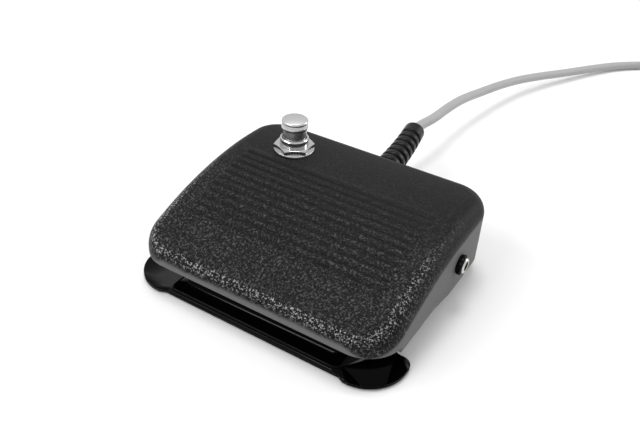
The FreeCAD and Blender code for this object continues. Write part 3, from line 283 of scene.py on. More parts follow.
class Rule(NodeMaker):
    """A Geometry Nodes tree with named sizes, which makes one piece from a start form."""
    family = "GeometryNode"

    def __init__(self, name, **sizes):
        self.tree = bpy.data.node_groups.new(name, "GeometryNodeTree")
        face = self.tree.interface
        face.new_socket("Geometry", in_out="OUTPUT", socket_type="NodeSocketGeometry")
        face.new_socket("Geometry", in_out="INPUT", socket_type="NodeSocketGeometry")
        self.sizes = {}
        for label, value in sizes.items():
            kind = "NodeSocketInt" if isinstance(value, int) else "NodeSocketFloat"
            socket = face.new_socket(label.replace("_", " ").capitalize(), in_out="INPUT", socket_type=kind)
            self.sizes[socket.identifier] = value
        entry = self.tree.nodes.new("NodeGroupInput")
        wires = [Wire(self, socket) for socket in entry.outputs]
        self.form = wires[0]
        for label, wire in zip(sizes, wires[1:]):
            setattr(self, label, wire)

    def make(self, start, geometry, material):
        """Ends the tree, runs it on the start object and returns the plain mesh."""
        real = self.node("RealizeInstances", None, geometry)[0]
        dressed = self.node("SetMaterial", None, real, Material=material)[0]
        self.tree.links.new(dressed.socket, self.tree.nodes.new("NodeGroupOutput").inputs[0])
        modifier = start.modifiers.new(self.tree.name, "NODES")
        modifier.node_group = self.tree
        for identifier, value in self.sizes.items():
            modifier[identifier] = value
        graph = bpy.context.evaluated_depsgraph_get()
        mesh = bpy.data.meshes.new_from_object(start.evaluated_get(graph), depsgraph=graph)
        start.modifiers.remove(modifier)
        bpy.data.objects.remove(start)
        return mesh


# Where the finishes of the cover meet: depths below the arch, and places across and behind the middle
WALL_EDGE = (1.9 * MM, 3.7 * MM)
SIDE_EDGE = (36.0 * MM, 48.0 * MM)
SIDE_DROP = 4.2 * MM
SMOOTH_REAR = (-28.0 * MM, 24.0 * MM)
# Depths below the arch where the painted highlight on the rim's grain tips fades in and where it fades out
PAINTED_HIGHLIGHT_FROM = (0.02 * MM, 0.35 * MM)
PAINTED_HIGHLIGHT_TO = (0.8 * MM, 2.6 * MM)
EDGE_WANDER = 1.6 * MM
TURNING_PITCH = 0.22 * MM  # of the tool's lines on the chromed pieces


def grained_moulding(sizes):
    """Black moulding: coarse grain on the arched top and smooth walls, with painted light: walls paler as a painted
    sheen, pale grain tips as painted glints and a painted highlight round the rim, and painted shade between the
    grains and in the rib valleys.
    """
    tint = tuple(sizes.tint)
    made = Finish("cover_moulding", tint, 0.45, Specular_IOR_Level=0.09)
    x, y, z = made.axes()
    over = y - sizes.crest
    crown = (sizes.crown_radius ** 2 - over * over).math("SQRT") + (sizes.crest_height - sizes.crown_radius)
    side = x.math("ABSOLUTE").step(*SIDE_EDGE)
    depth = crown - z
    wander = (made.noise(90.0) - 0.5) * EDGE_WANDER
    walls = (depth - side * SIDE_DROP + wander).step(*WALL_EDGE)
    rear = (y + wander * 4.0).step(*SMOOTH_REAR)
    coarse = (1.0 - walls) * (1.0 - rear * 0.85)
    # Painted highlight: the band round the rim whose grain tips are painted pale for the front light's glint; it
    # also strengthens the coat
    painted_highlight = depth.step(*PAINTED_HIGHLIGHT_FROM) * (1.0 - depth.step(*PAINTED_HIGHLIGHT_TO)) * (1.0 - rear)
    grains = made.noise(1.0 / sizes.grain_size, 2.0, 0.6)
    specks = made.noise(2.3 / sizes.grain_size, 2.0, 0.6)
    fine = made.noise(4200.0, 2.0, 0.6)
    grit = grains * 0.55 + specks * 0.45
    # Tips of the grains: they get the painted glints and the coat
    tips = grit.step(0.53, 0.60)
    # Painted shade: the hollows between the grains are painted darker
    pit_shade = 1.0 - grit.step(0.40, 0.50)
    relief = grit * 1.6 * coarse + fine * 0.08
    made.set("Normal", made.bump(relief, sizes.grain_height))
    made.set("Roughness", 0.46 - coarse * 0.16 + fine * 0.10)
    cloud = made.noise(14.0, 4.0)
    # Painted sheen: the smooth walls get a far paler colour than the grained top
    plain = made.mix(walls, made.mix(cloud, tint, shade(tint, 1.3)),
                     made.mix(cloud, shade(sizes.wall, 0.92), shade(sizes.wall, 1.08)))
    # Painted glints on the grain tips, paler still in the rim's painted highlight
    peak_glint = made.mix(painted_highlight, tuple(sizes.peak_glint), tuple(sizes.painted_highlight))
    grained = made.mix(tips * coarse, made.mix(pit_shade * coarse, plain, tuple(sizes.painted_shade)), peak_glint)
    row = (sizes.rib_first - y) / sizes.rib_pitch
    ribbed = row.step(-0.5, 0.0) * (1.0 - row.step(sizes.rib_count - 1.0, sizes.rib_count - 0.5))
    ribbed = ribbed * (1.0 - x.math("ABSOLUTE").step(sizes.rib_reach - 1.0 * MM, sizes.rib_reach))
    # Painted shade: the valleys between the ribs are painted darker, and get less coat
    valley_shade = (0.5 - (row * (2 * math.pi)).math("COSINE") * 0.5) * ribbed
    made.set("Base Color", made.mix(valley_shade * 0.6, grained, tuple(sizes.painted_shade)))
    made.set("Coat Weight", tips * coarse * (0.2 + painted_highlight * 0.8) * (1.0 - valley_shade))
    made.set("Coat Roughness", 0.32)
    return made.material


def gloss_enamel(sizes):
    """Gloss black enamel on pressed steel, with a faint wave and dust."""
    tint = tuple(sizes.enamel)
    made = Finish("plate_enamel", tint, 0.10, Specular_IOR_Level=0.06)
    dust = made.noise(2600.0, 3.0, 0.7).step(0.70, 0.84)
    made.set("Roughness", 0.05 + made.noise(60.0) * 0.05 + dust * 0.2)
    made.set("Base Color", made.mix(dust * 0.3, tint, (0.02, 0.02, 0.02)))
    made.set("Normal", made.bump(made.noise(420.0, 2.0), 0.006 * MM))
    return made.material


def bright_chrome(name, sizes, cap_top, roughness):
    """Chrome plate over turned brass: satin on the cap's end, turning lines and a few scratches."""
    tint = tuple(sizes.chrome)
    made = Finish(name, tint, roughness, 1.0)
    height = made.axes()[2]
    end = height.step(cap_top - 0.3 * MM, cap_top - 0.05 * MM)
    fine = made.noise(1900.0, 3.0, 0.6)
    scratch = made.noise(6000.0, 2.0, 0.7).step(0.62, 0.80)
    lines = (height * (2 * math.pi / TURNING_PITCH)).math("SINE") * (1.0 - end)
    made.set("Roughness", roughness + end * 0.2 + (fine - 0.5) * 0.10 + scratch * 0.10)
    made.set("Base Color", made.mix(made.noise(160.0, 3.0), tint, shade(tint, 0.9)))
    made.set("Normal", made.bump(fine + lines * 0.3, 0.008 * MM))
    return made.material


def plain_metal(name, tint, roughness, streaks):
    """Plated or drawn metal with soft blotches and a fine grain."""
    made = Finish(name, tint, roughness, 1.0)
    blotch = made.noise(220.0, 4.0, 0.6)
    grain = made.noise(streaks, 2.0, 0.7)
    made.set("Roughness", roughness + (blotch - 0.5) * 0.16 + (grain - 0.5) * 0.10)
    made.set("Base Color", made.mix(blotch, tint, shade(tint, 0.82)))
    made.set("Normal", made.bump(grain, 0.012 * MM))
    return made.material


def plain_plastic(name, tint, roughness, grain=0.02, gloss=0.5):
    """Moulded plastic or rubber with a fine erosion grain."""
    made = Finish(name, tint, roughness, Specular_IOR_Level=gloss)
    fine = made.noise(3000.0, 2.0, 0.6)
    cloud = made.noise(70.0, 3.0)
    made.set("Roughness", roughness + (fine - 0.5) * 0.14)
    made.set("Base Color", made.mix(cloud, shade(tint, 0.85), shade(tint, 1.15)))
    made.set("Normal", made.bump(fine, grain * MM))
    return made.material


def lead_sheath(sizes):
    """Matt grey sheath with faint dirt and drawing marks."""
    tint = tuple(sizes.tint)
    made = Finish("lead_sheath", tint, 0.55)
    cloud = made.noise(45.0, 4.0, 0.6)
    fine = made.noise(2200.0, 2.0, 0.6)
    made.set("Base Color", made.mix(cloud, shade(tint, 0.90), shade(tint, 1.08)))
    made.set("Roughness", 0.50 + fine * 0.12)
    made.set("Normal", made.bump(fine, 0.02 * MM))
    return made.material


def wear(material, *names):
    """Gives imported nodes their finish."""
    for name in names:
        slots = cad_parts[name].data.materials
        slots.clear()
        slots.append(material)


# Meshes
MERGE = 1e-6  # doubles within this distance become one
TURNED_EDGE = 25.0  # degrees, edges sharper than this stay sharp on a skinned form
ROUND = 72  # points round a turned form


def piece_from(name, mesh, body, material, *nodes):
    """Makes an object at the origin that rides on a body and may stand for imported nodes."""
    item = placed(name, mesh)
    mesh.materials.clear()
    mesh.materials.append(material)
    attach(item, body)
    if nodes:
        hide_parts(*nodes)
    return item


def smooth_faces(mesh, angle):
    """Smooth shading that keeps the edges sharper than the angle, in degrees."""
    mesh.shade_smooth()
    mesh.set_sharp_from_angle(angle=math.radians(angle))


def mesh_from(work, name, angle=35.0):
    """Ends the work on a mesh and smooths it."""
    mesh = bpy.data.meshes.new(name)
    work.to_mesh(mesh)
    work.free()
    smooth_faces(mesh, angle)
    return mesh


def merged_copy(name):
    """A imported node's mesh with its doubles merged and its round faces smooth."""
    work = bmesh.new()
    work.from_mesh(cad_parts[name].data)
    bmesh.ops.remove_doubles(work, verts=work.verts, dist=MERGE)
    return mesh_from(work, name + "_form")


def skinned(name, rings, looped=False, capped=False):
    """Mesh between rings of points; a ring of one point is a pole, and a looped skin closes on itself."""
    work = bmesh.new()
    rows = [[work.verts.new(point) for point in ring] for ring in rings]
    count = max(len(row) for row in rows)
    pairs = list(zip(rows, rows[1:]))
    if looped:
        pairs.append((rows[-1], rows[0]))
    for lower, upper in pairs:
        for step in range(count):
            after = step + 1
            corners = (lower[step % len(lower)], lower[after % len(lower)], upper[after % len(upper)],
                       upper[step % len(upper)])
            work.faces.new(tuple(dict.fromkeys(corners)))
    if capped:
        for end in (rows[0], rows[-1]):
            work.faces.new(end)
    bmesh.ops.recalc_face_normals(work, faces=work.faces)
    return mesh_from(work, name, TURNED_EDGE)


def turned(name, outline):
    """Mesh of revolution about Z from (radius, height) points; a section off the axis is closed to a ring."""
    rings = []
    for radius, height in outline:
        angles = [2 * math.pi * step / ROUND for step in range(ROUND if radius else 1)]
        rings.append([(radius * math.cos(a), radius * math.sin(a), height) for a in angles])
    return skinned(name, rings, looped=bool(outline[0][0]))


def curve_of(name, kind, points):
    """A curve in space with one spline, and that spline."""
    line = bpy.data.curves.new(name, "CURVE")
    line.dimensions = "3D"
    spline = line.splines.new(kind)
    spline.points.add(len(points) - 1)
    for item, point in zip(spline.points, points):
        item.co = (*point, 1.0)
    return line, spline


def arc(centre, radius, start, end, steps=5):
    """Points on an arc, in degrees, for an outline."""
    turns = [math.radians(start + (end - start) * step / (steps - 1)) for step in range(steps)]
    return [(centre[0] + radius * math.cos(turn), centre[1] + radius * math.sin(turn)) for turn in turns]


# Lead: the solid's route, whose first four points are moved, then the turns of the coil
RELIEF_END = (-0.00320, 0.08768, 0.02050)  # where the lead comes out of the strain relief
LEAD_POINTS = (
    (-0.0035, 0.0940, 0.0205),
    (-0.0016, 0.1040, 0.0200), (-0.0012, 0.1210, 0.0194), (-0.0009, 0.1390, 0.0172), (0.0016, 0.1580, 0.0144),
    (0.0046, 0.1780, 0.0118), (0.0095, 0.1985, 0.0092), (0.0173, 0.2178, 0.0069), (0.0268, 0.2365, 0.0050),
    (0.0368, 0.2555, 0.0037), (0.0476, 0.2725, 0.0028), (0.0603, 0.2850, 0.0024), (0.0755, 0.2950, 0.0023),
    (0.0928, 0.3052, 0.0023))
END_POINTS = ((0.1523, 0.2746, 0.0023), (0.1528, 0.2677, 0.0024), (0.1532, 0.2607, 0.0040),
              (0.1535, 0.2537, 0.0040))
COIL_CENTRE = (0.1129, 0.2711)
COIL_JOIN = 0.0396  # radius at which the way out leaves the coil
COIL_ENTRY = 120.5  # degrees round the coil, of the way in and the way out
COIL_EXIT = 5.0
STEPS_PER_TURN = 16
INWARD_TURNS = 5
OUTWARD_TURNS = 4
JOG_FROM = 0.70  # part of a turn after which the lead goes over to the next one


def eased(value):
    """From 0 to 1 with a soft start and end."""
    value = max(0.0, min(1.0, value))
    return value * value * (3.0 - 2.0 * value)


def coil_turns(sizes):
    """Radius and height of each turn: inward on the floor, then outward on top."""
    low = sizes.diameter / 2 + sizes.coil_lift
    outer = sizes.turn_middle + (INWARD_TURNS - 1) / 2 * sizes.turn_pitch
    inner = sizes.turn_middle - (OUTWARD_TURNS - 1) / 2 * sizes.turn_pitch
    turns = [(outer - number * sizes.turn_pitch, low) for number in range(INWARD_TURNS)]
    turns += [(inner + number * sizes.turn_pitch, low + sizes.layer_pitch) for number in range(OUTWARD_TURNS)]
    return turns


def coil_points(sizes):
    """Control points of the turns, clockwise seen from above, and of the way out over the outer turn."""
    turns = coil_turns(sizes)
    floor = sizes.diameter / 2 + FIT
    swell = 1.0 / math.cos(math.pi / STEPS_PER_TURN)
    last = len(turns) * STEPS_PER_TURN
    leaving = (COIL_ENTRY - COIL_EXIT) / 360.0 * STEPS_PER_TURN
    points = []
    for number in range(1, last + math.ceil(leaving)):
        turn, part = divmod(number, STEPS_PER_TURN)
        part /= STEPS_PER_TURN
        radius, height = turns[min(turn, len(turns) - 1)]
        if turn < len(turns) - 1:
            jog = eased((part - JOG_FROM) / (1.0 - JOG_FROM))
            radius += (turns[turn + 1][0] - radius) * jog
            height += (turns[turn + 1][1] - height) * jog
        out = (number - last) / leaving
        if out > 0.0:
            radius += (COIL_JOIN - radius) * eased(out / 0.85)
            height += (floor - height) * eased((out - 0.45) / 0.55)
        angle = math.radians(COIL_ENTRY - number * 360.0 / STEPS_PER_TURN)
        points.append((COIL_CENTRE[0] + swell * radius * math.cos(angle),
                       COIL_CENTRE[1] + swell * radius * math.sin(angle), height))
    return points


TIE_ARC_STEPS = 8
TIE_ANGLE = 232.0  # degrees, place of the tie round the coil
LOCK_WIDTH = 1.5  # the tie's lock, in widths and thicknesses of the strap
LOCK_HEIGHT = 5


def tie_loop(sizes, spread):
    """Outline round the turns' section, as (radius, height), spread that far beyond the sheath."""
    turns = coil_turns(sizes)
    reach = sizes.diameter / 2 + spread
    bottom, top = turns[:INWARD_TURNS], turns[INWARD_TURNS:]
    corners = (max(bottom), max(top), min(top), min(bottom))
    loop = []
    for number, corner in enumerate(corners):
        before = corners[number - 1]
        after = corners[(number + 1) % len(corners)]
        start = math.atan2(corner[1] - before[1], corner[0] - before[0]) - math.pi / 2
        sweep = (math.atan2(after[1] - corner[1], after[0] - corner[0]) - math.pi / 2 - start) % (2 * math.pi)
        for step in range(TIE_ARC_STEPS + 1):
            angle = start + sweep * step / TIE_ARC_STEPS
            loop.append((corner[0] + reach * math.cos(angle), corner[1] + reach * math.sin(angle)))
    return loop


def tie_mesh(sizes):
    """Strap round all turns at one place of the coil, with its lock on top."""
    along = Vector((math.cos(math.radians(TIE_ANGLE)), math.sin(math.radians(TIE_ANGLE)), 0.0))
    side = Vector((-along.y, along.x, 0.0))
    centre = Vector((*COIL_CENTRE, 0.0))
    half = sizes.tie_width / 2
    work = bmesh.new()

    def place(radius, height, across):
        return work.verts.new(centre + along * radius + side * across + Vector((0.0, 0.0, height)))

    rings = []
    outside = FIT + sizes.tie_sheet
    for spread, across in ((FIT, -half), (FIT, half), (outside, half), (outside, -half)):
        rings.append([place(radius, height, across) for radius, height in tie_loop(sizes, spread)])
    count = len(rings[0])
    for first, second in zip(rings, rings[1:] + rings[:1]):
        for number in range(count):
            following = (number + 1) % count
            work.faces.new((first[number], second[number], second[following], first[following]))
    top = max(point[1] for point in tie_loop(sizes, outside))
    middle = sizes.turn_middle
    lock = bmesh.ops.create_cube(work, size=1.0)["verts"]
    across = sizes.tie_width * LOCK_WIDTH
    tall = sizes.tie_sheet * LOCK_HEIGHT
    for vertex in lock:
        vertex.co = (centre + along * (middle + vertex.co.x * across) + side * vertex.co.y * across
                     + Vector((0.0, 0.0, top - sizes.tie_sheet + (vertex.co.z + 0.5) * tall)))
    bmesh.ops.recalc_face_normals(work, faces=work.faces)
    return mesh_from(work, "coil_tie", 40.0)


class FOOTSWITCH_OT_lead(bpy.types.Operator):
    """Lays the lead from the strain relief to its coil and plug"""
    bl_idname = "footswitch.lead"
    bl_label = "Lead"

    def execute(self, context):
        sizes = context.scene.footswitch_lead
        points = [RELIEF_END, *LEAD_POINTS, *coil_points(sizes), *END_POINTS]
        line, spline = curve_of("lead_line", "NURBS", points)
        line.resolution_u = 8
        line.bevel_depth = sizes.diameter / 2
        line.bevel_resolution = 6
        line.use_fill_caps = True
        spline.order_u = 3
        spline.use_endpoint_u = True
        sheath = lead_sheath(sizes)
        cord = placed("lead_line", line)
        line.materials.append(sheath)
        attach(cord, "base")
        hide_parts("lead", "lead_coil", "lead_end")
        wear(sheath, "lead_tail")
        strap = plain_plastic("tie_nylon", (0.02, 0.02, 0.02), 0.4)
        tie = piece_from("coil_tie", tie_mesh(sizes), "base", strap)
        return {"FINISHED"}


FLOOR_REACH = 3.0
FLOOR_GLOW = 0.04  # added where the camera sees the floor
# name, place, aimed at, width, depth, watts
LAMPS = (("key", (-0.12, 0.22, 1.10), (0.0, 0.0, 0.0), 0.35, 0.35, 4.0),
         ("strip", (-0.41, -0.54, 0.69), (0.0, -0.03, 0.02), 0.9, 0.07, 3.8),
         ("side", (0.72, 0.93, 0.52), (0.03, 0.0, 0.02), 0.35, 0.6, 3.5))


class FOOTSWITCH_OT_stage(bpy.types.Operator):
    """Sets up the camera, the pale floor and the soft light"""
    bl_idname = "footswitch.stage"
    bl_label = "Stage"

    def execute(self, context):
        sizes = context.scene.footswitch_stage
        yaw, pitch, roll = (math.radians(v) for v in sizes.turn)
        back = Vector((math.sin(yaw) * math.cos(pitch), -math.cos(yaw) * math.cos(pitch), math.sin(pitch)))
        right = Vector((math.cos(yaw), math.sin(yaw), 0.0))
        up = back.cross(right)
        across = right * math.cos(roll) + up * math.sin(roll)
        upward = up * math.cos(roll) - right * math.sin(roll)
        lens = bpy.data.cameras.new("view")
        lens.lens = sizes.lens
        lens.sensor_width = 36.0
        lens.clip_start = 0.01
        camera = placed("view", lens)
        camera.matrix_world = Matrix.Translation(sizes.camera) @ Matrix((across, upward, back)).transposed().to_4x4()
        context.scene.camera = camera
        context.scene.view_settings.view_transform = "Standard"
        self.floor()
        self.lamps(sizes)
        self.sky(context, sizes)
        return {"FINISHED"}

    def floor(self):
        mesh = bpy.data.meshes.new("floor")
        corners = [(across * FLOOR_REACH, back * FLOOR_REACH, 0) for across, back in
                   ((-1, -1), (1, -1), (1, 1), (-1, 1))]
        mesh.from_pydata(corners, [], [(0, 1, 2, 3)])
        item = placed("floor", mesh)
        made = Finish("floor_paper", (0.93, 0.93, 0.93), 0.9)
        made.set("Roughness", 0.85 + made.noise(300.0) * 0.1)
        made.set("Emission Color", made.node("LightPath")[0])
        made.set("Emission Strength", FLOOR_GLOW)
        mesh.materials.append(made.material)

    def lamps(self, sizes):
        for name, place, target, wide, deep, power in LAMPS:
            lamp = bpy.data.lights.new(name, "AREA")
            lamp.shape = "RECTANGLE"
            lamp.size = wide
            lamp.size_y = deep
            lamp.energy = power * sizes.light
            item = placed(name, lamp)
            item.location = place
            item.rotation_euler = (Vector(place) - Vector(target)).to_track_quat("Z", "Y").to_euler()

    def sky(self, context, sizes):
        """Paler where the camera, gloss or glass sees it than it is as a light."""
        world = bpy.data.worlds.new("studio")
        world.use_nodes = True
        context.scene.world = world
        tree = world.node_tree
        light = tree.nodes["Background"]
        seen = tree.nodes.new("ShaderNodeBackground")
        for part, strength in ((light, sizes.sky), (seen, sizes.backdrop)):
            part.inputs["Color"].default_value = (1, 1, 1, 1)
            part.inputs["Strength"].default_value = strength
        path = tree.nodes.new("ShaderNodeLightPath")
        shown = path.outputs["Is Camera Ray"]
        for ray in ("Is Transmission Ray", "Is Glossy Ray"):
            either = tree.nodes.new("ShaderNodeMath")
            either.operation = "MAXIMUM"
            tree.links.new(shown, either.inputs[0])
            tree.links.new(path.outputs[ray], either.inputs[1])
            shown = either.outputs[0]
        mixed = tree.nodes.new("ShaderNodeMixShader")
        for socket, output in zip(mixed.inputs, (shown, light.outputs[0], seen.outputs[0])):
            tree.links.new(output, socket)
        tree.links.new(mixed.outputs[0], tree.nodes["World Output"].inputs["Surface"])


# Distance from a rib's end in millimetres, and the rib's height there as a part of its full one
RIB_ENDS = ((0.0, 0.3), (0.3, 0.75), (1.2, 1.0))
RIB_ROOT = 0.12 * MM  # of a rib, below the arch
RIB_STEPS = 14


class FOOTSWITCH_OT_cover(bpy.types.Operator):
    """Gives the cover its smooth form, its grain and its row of grip ribs"""
    bl_idname = "footswitch.cover"
    bl_label = "Cover"

    def execute(self, context):
        sizes = context.scene.footswitch_cover
        moulding = grained_moulding(sizes)
        piece_from("cover_moulding", merged_copy("cover_shell"), "cover", moulding, "cover_shell")
        ribs = piece_from("grip_ribs", self.ribs(sizes, moulding), "cover", moulding)
        return {"FINISHED"}

    def ribs(self, sizes, moulding):
        """One low rib, laid in a row along the arched top."""
        bar = placed("rib_row", skinned("rib", self.rib_sections(sizes), capped=True))
        rule = Rule("grip_rib_row", count=sizes.rib_count, pitch=sizes.rib_pitch, first=sizes.rib_first,
                    crown=sizes.crown_radius, crest=sizes.crest, crest_height=sizes.crest_height)
        row = rule.node("MeshLine", None, rule.count, None, (0.0, 0.0, 0.0), (0.0, 0.0, 0.0))[0]
        back = rule.first - rule.node("InputIndex")[0] * rule.pitch
        over = rule.crest - back
        height = (rule.crown ** 2 - over ** 2).math("SQRT") - rule.crown + rule.crest_height
        laid = rule.node("SetPosition", None, row, Position=rule.node("CombineXYZ", None, 0.0, back, height)[0])[0]
        tilt = rule.node("CombineXYZ", None, (over / rule.crown).math("ARCSINE"), 0.0, 0.0)[0]
        copies = rule.node("InstanceOnPoints", None, laid, Instance=rule.form, Rotation=tilt)[0]
        mesh = rule.make(bar, copies, moulding)
        smooth_faces(mesh, 50.0)
        return mesh

    def rib_sections(self, sizes):
        """Sections of a rib, part of a large circle, that sink in at both ends."""
        radius = sizes.rib_round
        ends = [(inset * MM - sizes.rib_reach, share) for inset, share in RIB_ENDS]
        ends += [(-across, share) for across, share in reversed(ends)]
        sections = []
        for across, share in ends:
            lowered = radius - sizes.rib_rise * share
            half = math.sqrt(radius ** 2 - (lowered - RIB_ROOT) ** 2)
            steps = [half * (2 * step / RIB_STEPS - 1) for step in range(RIB_STEPS + 1)]
            sections.append([(across, back, math.sqrt(radius ** 2 - back ** 2) - lowered) for back in steps])
        return sections


class FOOTSWITCH_OT_plate(bpy.types.Operator):
    """Enamels the pressed steel plate"""
    bl_idname = "footswitch.plate"
    bl_label = "Plate"

    def execute(self, context):
        enamel = gloss_enamel(context.scene.footswitch_metal)
        piece_from("plate_pressing", merged_copy("base_plate"), "base", enamel, "base_plate")
        return {"FINISHED"}


NUT_CONE = 28.0  # degrees, slope of the cone that cuts the nut's corners
NUT_TURN = 6.0  # degrees, of the nut about its axis
CAP_GROOVE = 0.56  # height of the groove, as a part of the cap's


class FOOTSWITCH_OT_button(bpy.types.Operator):
    """Builds the chromed push button with its bushing, nut and washer"""
    bl_idname = "footswitch.button"
    bl_label = "Push button"

    def execute(self, context):
        sizes = context.scene.footswitch_button
        metal = context.scene.footswitch_metal
        chrome = bright_chrome("nut_chrome", metal, sizes.cap_top, 0.16)
        satin = bright_chrome("cap_chrome", metal, sizes.cap_top, 0.24)
        dull = bright_chrome("washer_chrome", metal, sizes.cap_top, 0.32)
        piece_from("button_washer_chrome", self.washer(sizes), "cover", dull, "button_washer")
        piece_from("button_bushing_chrome", self.bushing(sizes), "cover", chrome, "button_bushing")
        piece_from("button_nut_chrome", self.nut(sizes), "cover", chrome, "button_nut")
        piece_from("button_cap_chrome", self.cap(sizes), "button", satin, "button_cap")
        return {"FINISHED"}

    def at_axis(self, mesh, sizes):
        mesh.transform(Matrix.Translation((-sizes.side, sizes.behind, 0.0)))
        return mesh

    def bushing(self, sizes):
        """Blind bushing with a deep chamfer at its mouth."""
        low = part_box("button_bushing")[0][2]
        top = sizes.seat + sizes.bushing_rise
        outer, bore, bevel, bottom = sizes.bushing, sizes.bore, 0.12 * MM, low + 1.0 * MM
        outline = ((0.0, low), (outer, low), (outer, top - 0.50 * MM), (outer - 0.30 * MM, top - 0.08 * MM),
                   (outer - 0.42 * MM, top), (bore + bevel, top), (bore, top - bevel), (bore, bottom),
                   (0.0, bottom))
        return self.at_axis(turned("bushing_form", outline), sizes)

    def washer(self, sizes):
        """Flat washer with rounded rims."""
        outer, thick, rim = sizes.washer, sizes.washer_height, 0.25 * MM
        inner = sizes.bushing + FIT
        outline = [(inner, 0.0), (outer - 0.1 * MM, 0.0), (outer, 0.1 * MM)]
        outline += arc((outer - rim, thick - rim), rim, 0, 90)
        outline += [(inner, thick)]
        mesh = turned("washer_form", outline)
        mesh.transform(Matrix.Translation((0.0, 0.0, sizes.seat)))
        return self.at_axis(mesh, sizes)

    def nut(self, sizes):
        """Hexagonal nut whose corners are cut back by a cone."""
        flat, tall, lip = sizes.nut_flats / 2, sizes.nut_height, 0.12 * MM
        inner = sizes.bushing + FIT
        slope = math.tan(math.radians(NUT_CONE))
        rings = [[] for level in range(5)]
        for step in range(ROUND):
            angle = 2 * math.pi * step / ROUND
            reach = flat / math.cos((angle + math.pi / 6) % (math.pi / 3) - math.pi / 6)
            shoulder = tall - (reach - flat + lip) * slope
            section = ((inner, 0.0), (reach, 0.0), (reach, shoulder), (flat - lip, tall), (inner, tall))
            for ring, (radius, height) in zip(rings, section):
                ring.append((radius * math.cos(angle), radius * math.sin(angle), height))
        mesh = skinned("nut_form", rings, looped=True)
        smooth_faces(mesh, 20.0)
        mesh.transform(Matrix.Translation((0.0, 0.0, sizes.seat + sizes.washer_height))
                       @ Matrix.Rotation(math.radians(NUT_TURN), 4, "Z"))
        return self.at_axis(mesh, sizes)

    def cap(self, sizes):
        """Shank and cap turned from one bar: two swelled bands with a groove between them."""
        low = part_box("button_cap")[0][2]
        top, edge, shank = sizes.cap_top, sizes.cap, sizes.shank
        under = top - sizes.cap_height
        groove = under + CAP_GROOVE * sizes.cap_height
        swell, rim, deep = 2.4 * MM, 0.8 * MM, 0.42 * MM
        outline = [(0.0, low), (shank, low), (shank, under - 0.15 * MM), (shank - 0.1 * MM, under)]
        outline += arc((edge - swell, under + 0.75 * MM), swell, -18, 29, 9)
        outline += [(edge - deep, groove + 0.10 * MM), (edge - deep, groove + 0.32 * MM),
                    (edge - 0.10 * MM, groove + 0.40 * MM)]
        outline += arc((edge - rim, top - rim), rim, -8, 62, 7)
        outline += [(edge - rim + 0.15 * MM, top), (0.0, top)]
        return self.at_axis(turned("cap_form", outline), sizes)


RING_GAP = 0.04 * MM  # between the ring nut and the barrel
RIDGE_ROOT = -0.15 * MM  # of a ridge, from the ring nut's surface
RIDGE_FOOT = 0.05 * MM


class FOOTSWITCH_OT_socket(bpy.types.Operator):
    """Builds the side socket's knurled ring nut and its nickel barrel"""
    bl_idname = "footswitch.socket"
    bl_label = "Side socket"

    def execute(self, context):
        sizes = context.scene.footswitch_metal
        gloss = plain_plastic("nut_moulding", (0.003, 0.003, 0.003), 0.25, 0.01, 0.12)
        low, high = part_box("socket_barrel")
        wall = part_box("socket_nut")[0][0]
        axis = Vector((0.0, (low[1] + high[1]) / 2, (low[2] + high[2]) / 2))
        inner = (high[1] - low[1]) / 2 + RING_GAP
        outer = sizes.nut_radius
        end = sizes.nut_height
        ring = turned("ring_form", ((inner, 0.0), (outer - 0.1 * MM, 0.0), (outer, 0.15 * MM),
                                    (outer, end - 0.45 * MM), (outer - 0.35 * MM, end - 0.08 * MM),
                                    (outer - 0.45 * MM, end), (inner + 0.1 * MM, end), (inner, end - 0.1 * MM)))
        turn = Matrix.Translation((wall, axis.y, axis.z)) @ Matrix.Rotation(math.radians(90), 4, "Y")
        ring.transform(turn)
        piece_from("socket_ring", ring, "cover", gloss, "socket_nut")
        knurls = self.knurls(sizes, gloss)
        knurls.transform(turn)
        piece_from("socket_knurls", knurls, "cover", gloss)
        wear(plain_metal("nickel_barrel", (0.66, 0.65, 0.62), 0.2, 1500.0), "socket_barrel")
        return {"FINISHED"}

    def knurls(self, sizes, gloss):
        """One ridge, set round the ring nut."""
        half = sizes.knurl / 2
        sections = []
        for height, share in ((0.3 * MM, 0.5), (0.5 * MM, 1.0), (sizes.nut_height - 0.8 * MM, 1.0),
                              (sizes.nut_height - 0.5 * MM, 0.4)):
            sections.append([(RIDGE_ROOT, -half, height), (RIDGE_FOOT, -half, height),
                             (half * share, 0.0, height), (RIDGE_FOOT, half, height), (RIDGE_ROOT, half, height)])
        ridge = placed("ridge_row", skinned("ridge", sections, capped=True))
        rule = Rule("knurl_ring", count=sizes.knurls, radius=sizes.nut_radius)
        circle = rule.node("MeshCircle", None, rule.count, rule.radius)[0]
        angle = rule.node("InputIndex")[0] * (2 * math.pi) / rule.count
        turn = rule.node("CombineXYZ", None, 0.0, 0.0, angle)[0]
        copies = rule.node("InstanceOnPoints", None, circle, Instance=rule.form, Rotation=turn)[0]
        mesh = rule.make(ridge, copies, gloss)
        smooth_faces(mesh, 40.0)
        return mesh


# Radii of the collars either side of the flange and of the neck in it, and the flange's sheet
COLLAR_INSIDE = 5.6 * MM
COLLAR_OUTSIDE = 6.0 * MM
COLLAR_NECK = 4.4 * MM
COLLAR_GAP = 1.2 * MM
RELIEF_STEPS = 24
RELIEF_RINGS = 260
RELIEF_SIDES = 40
LEAN = math.sqrt(2)  # the sleeve bends up and to the left by the same amount


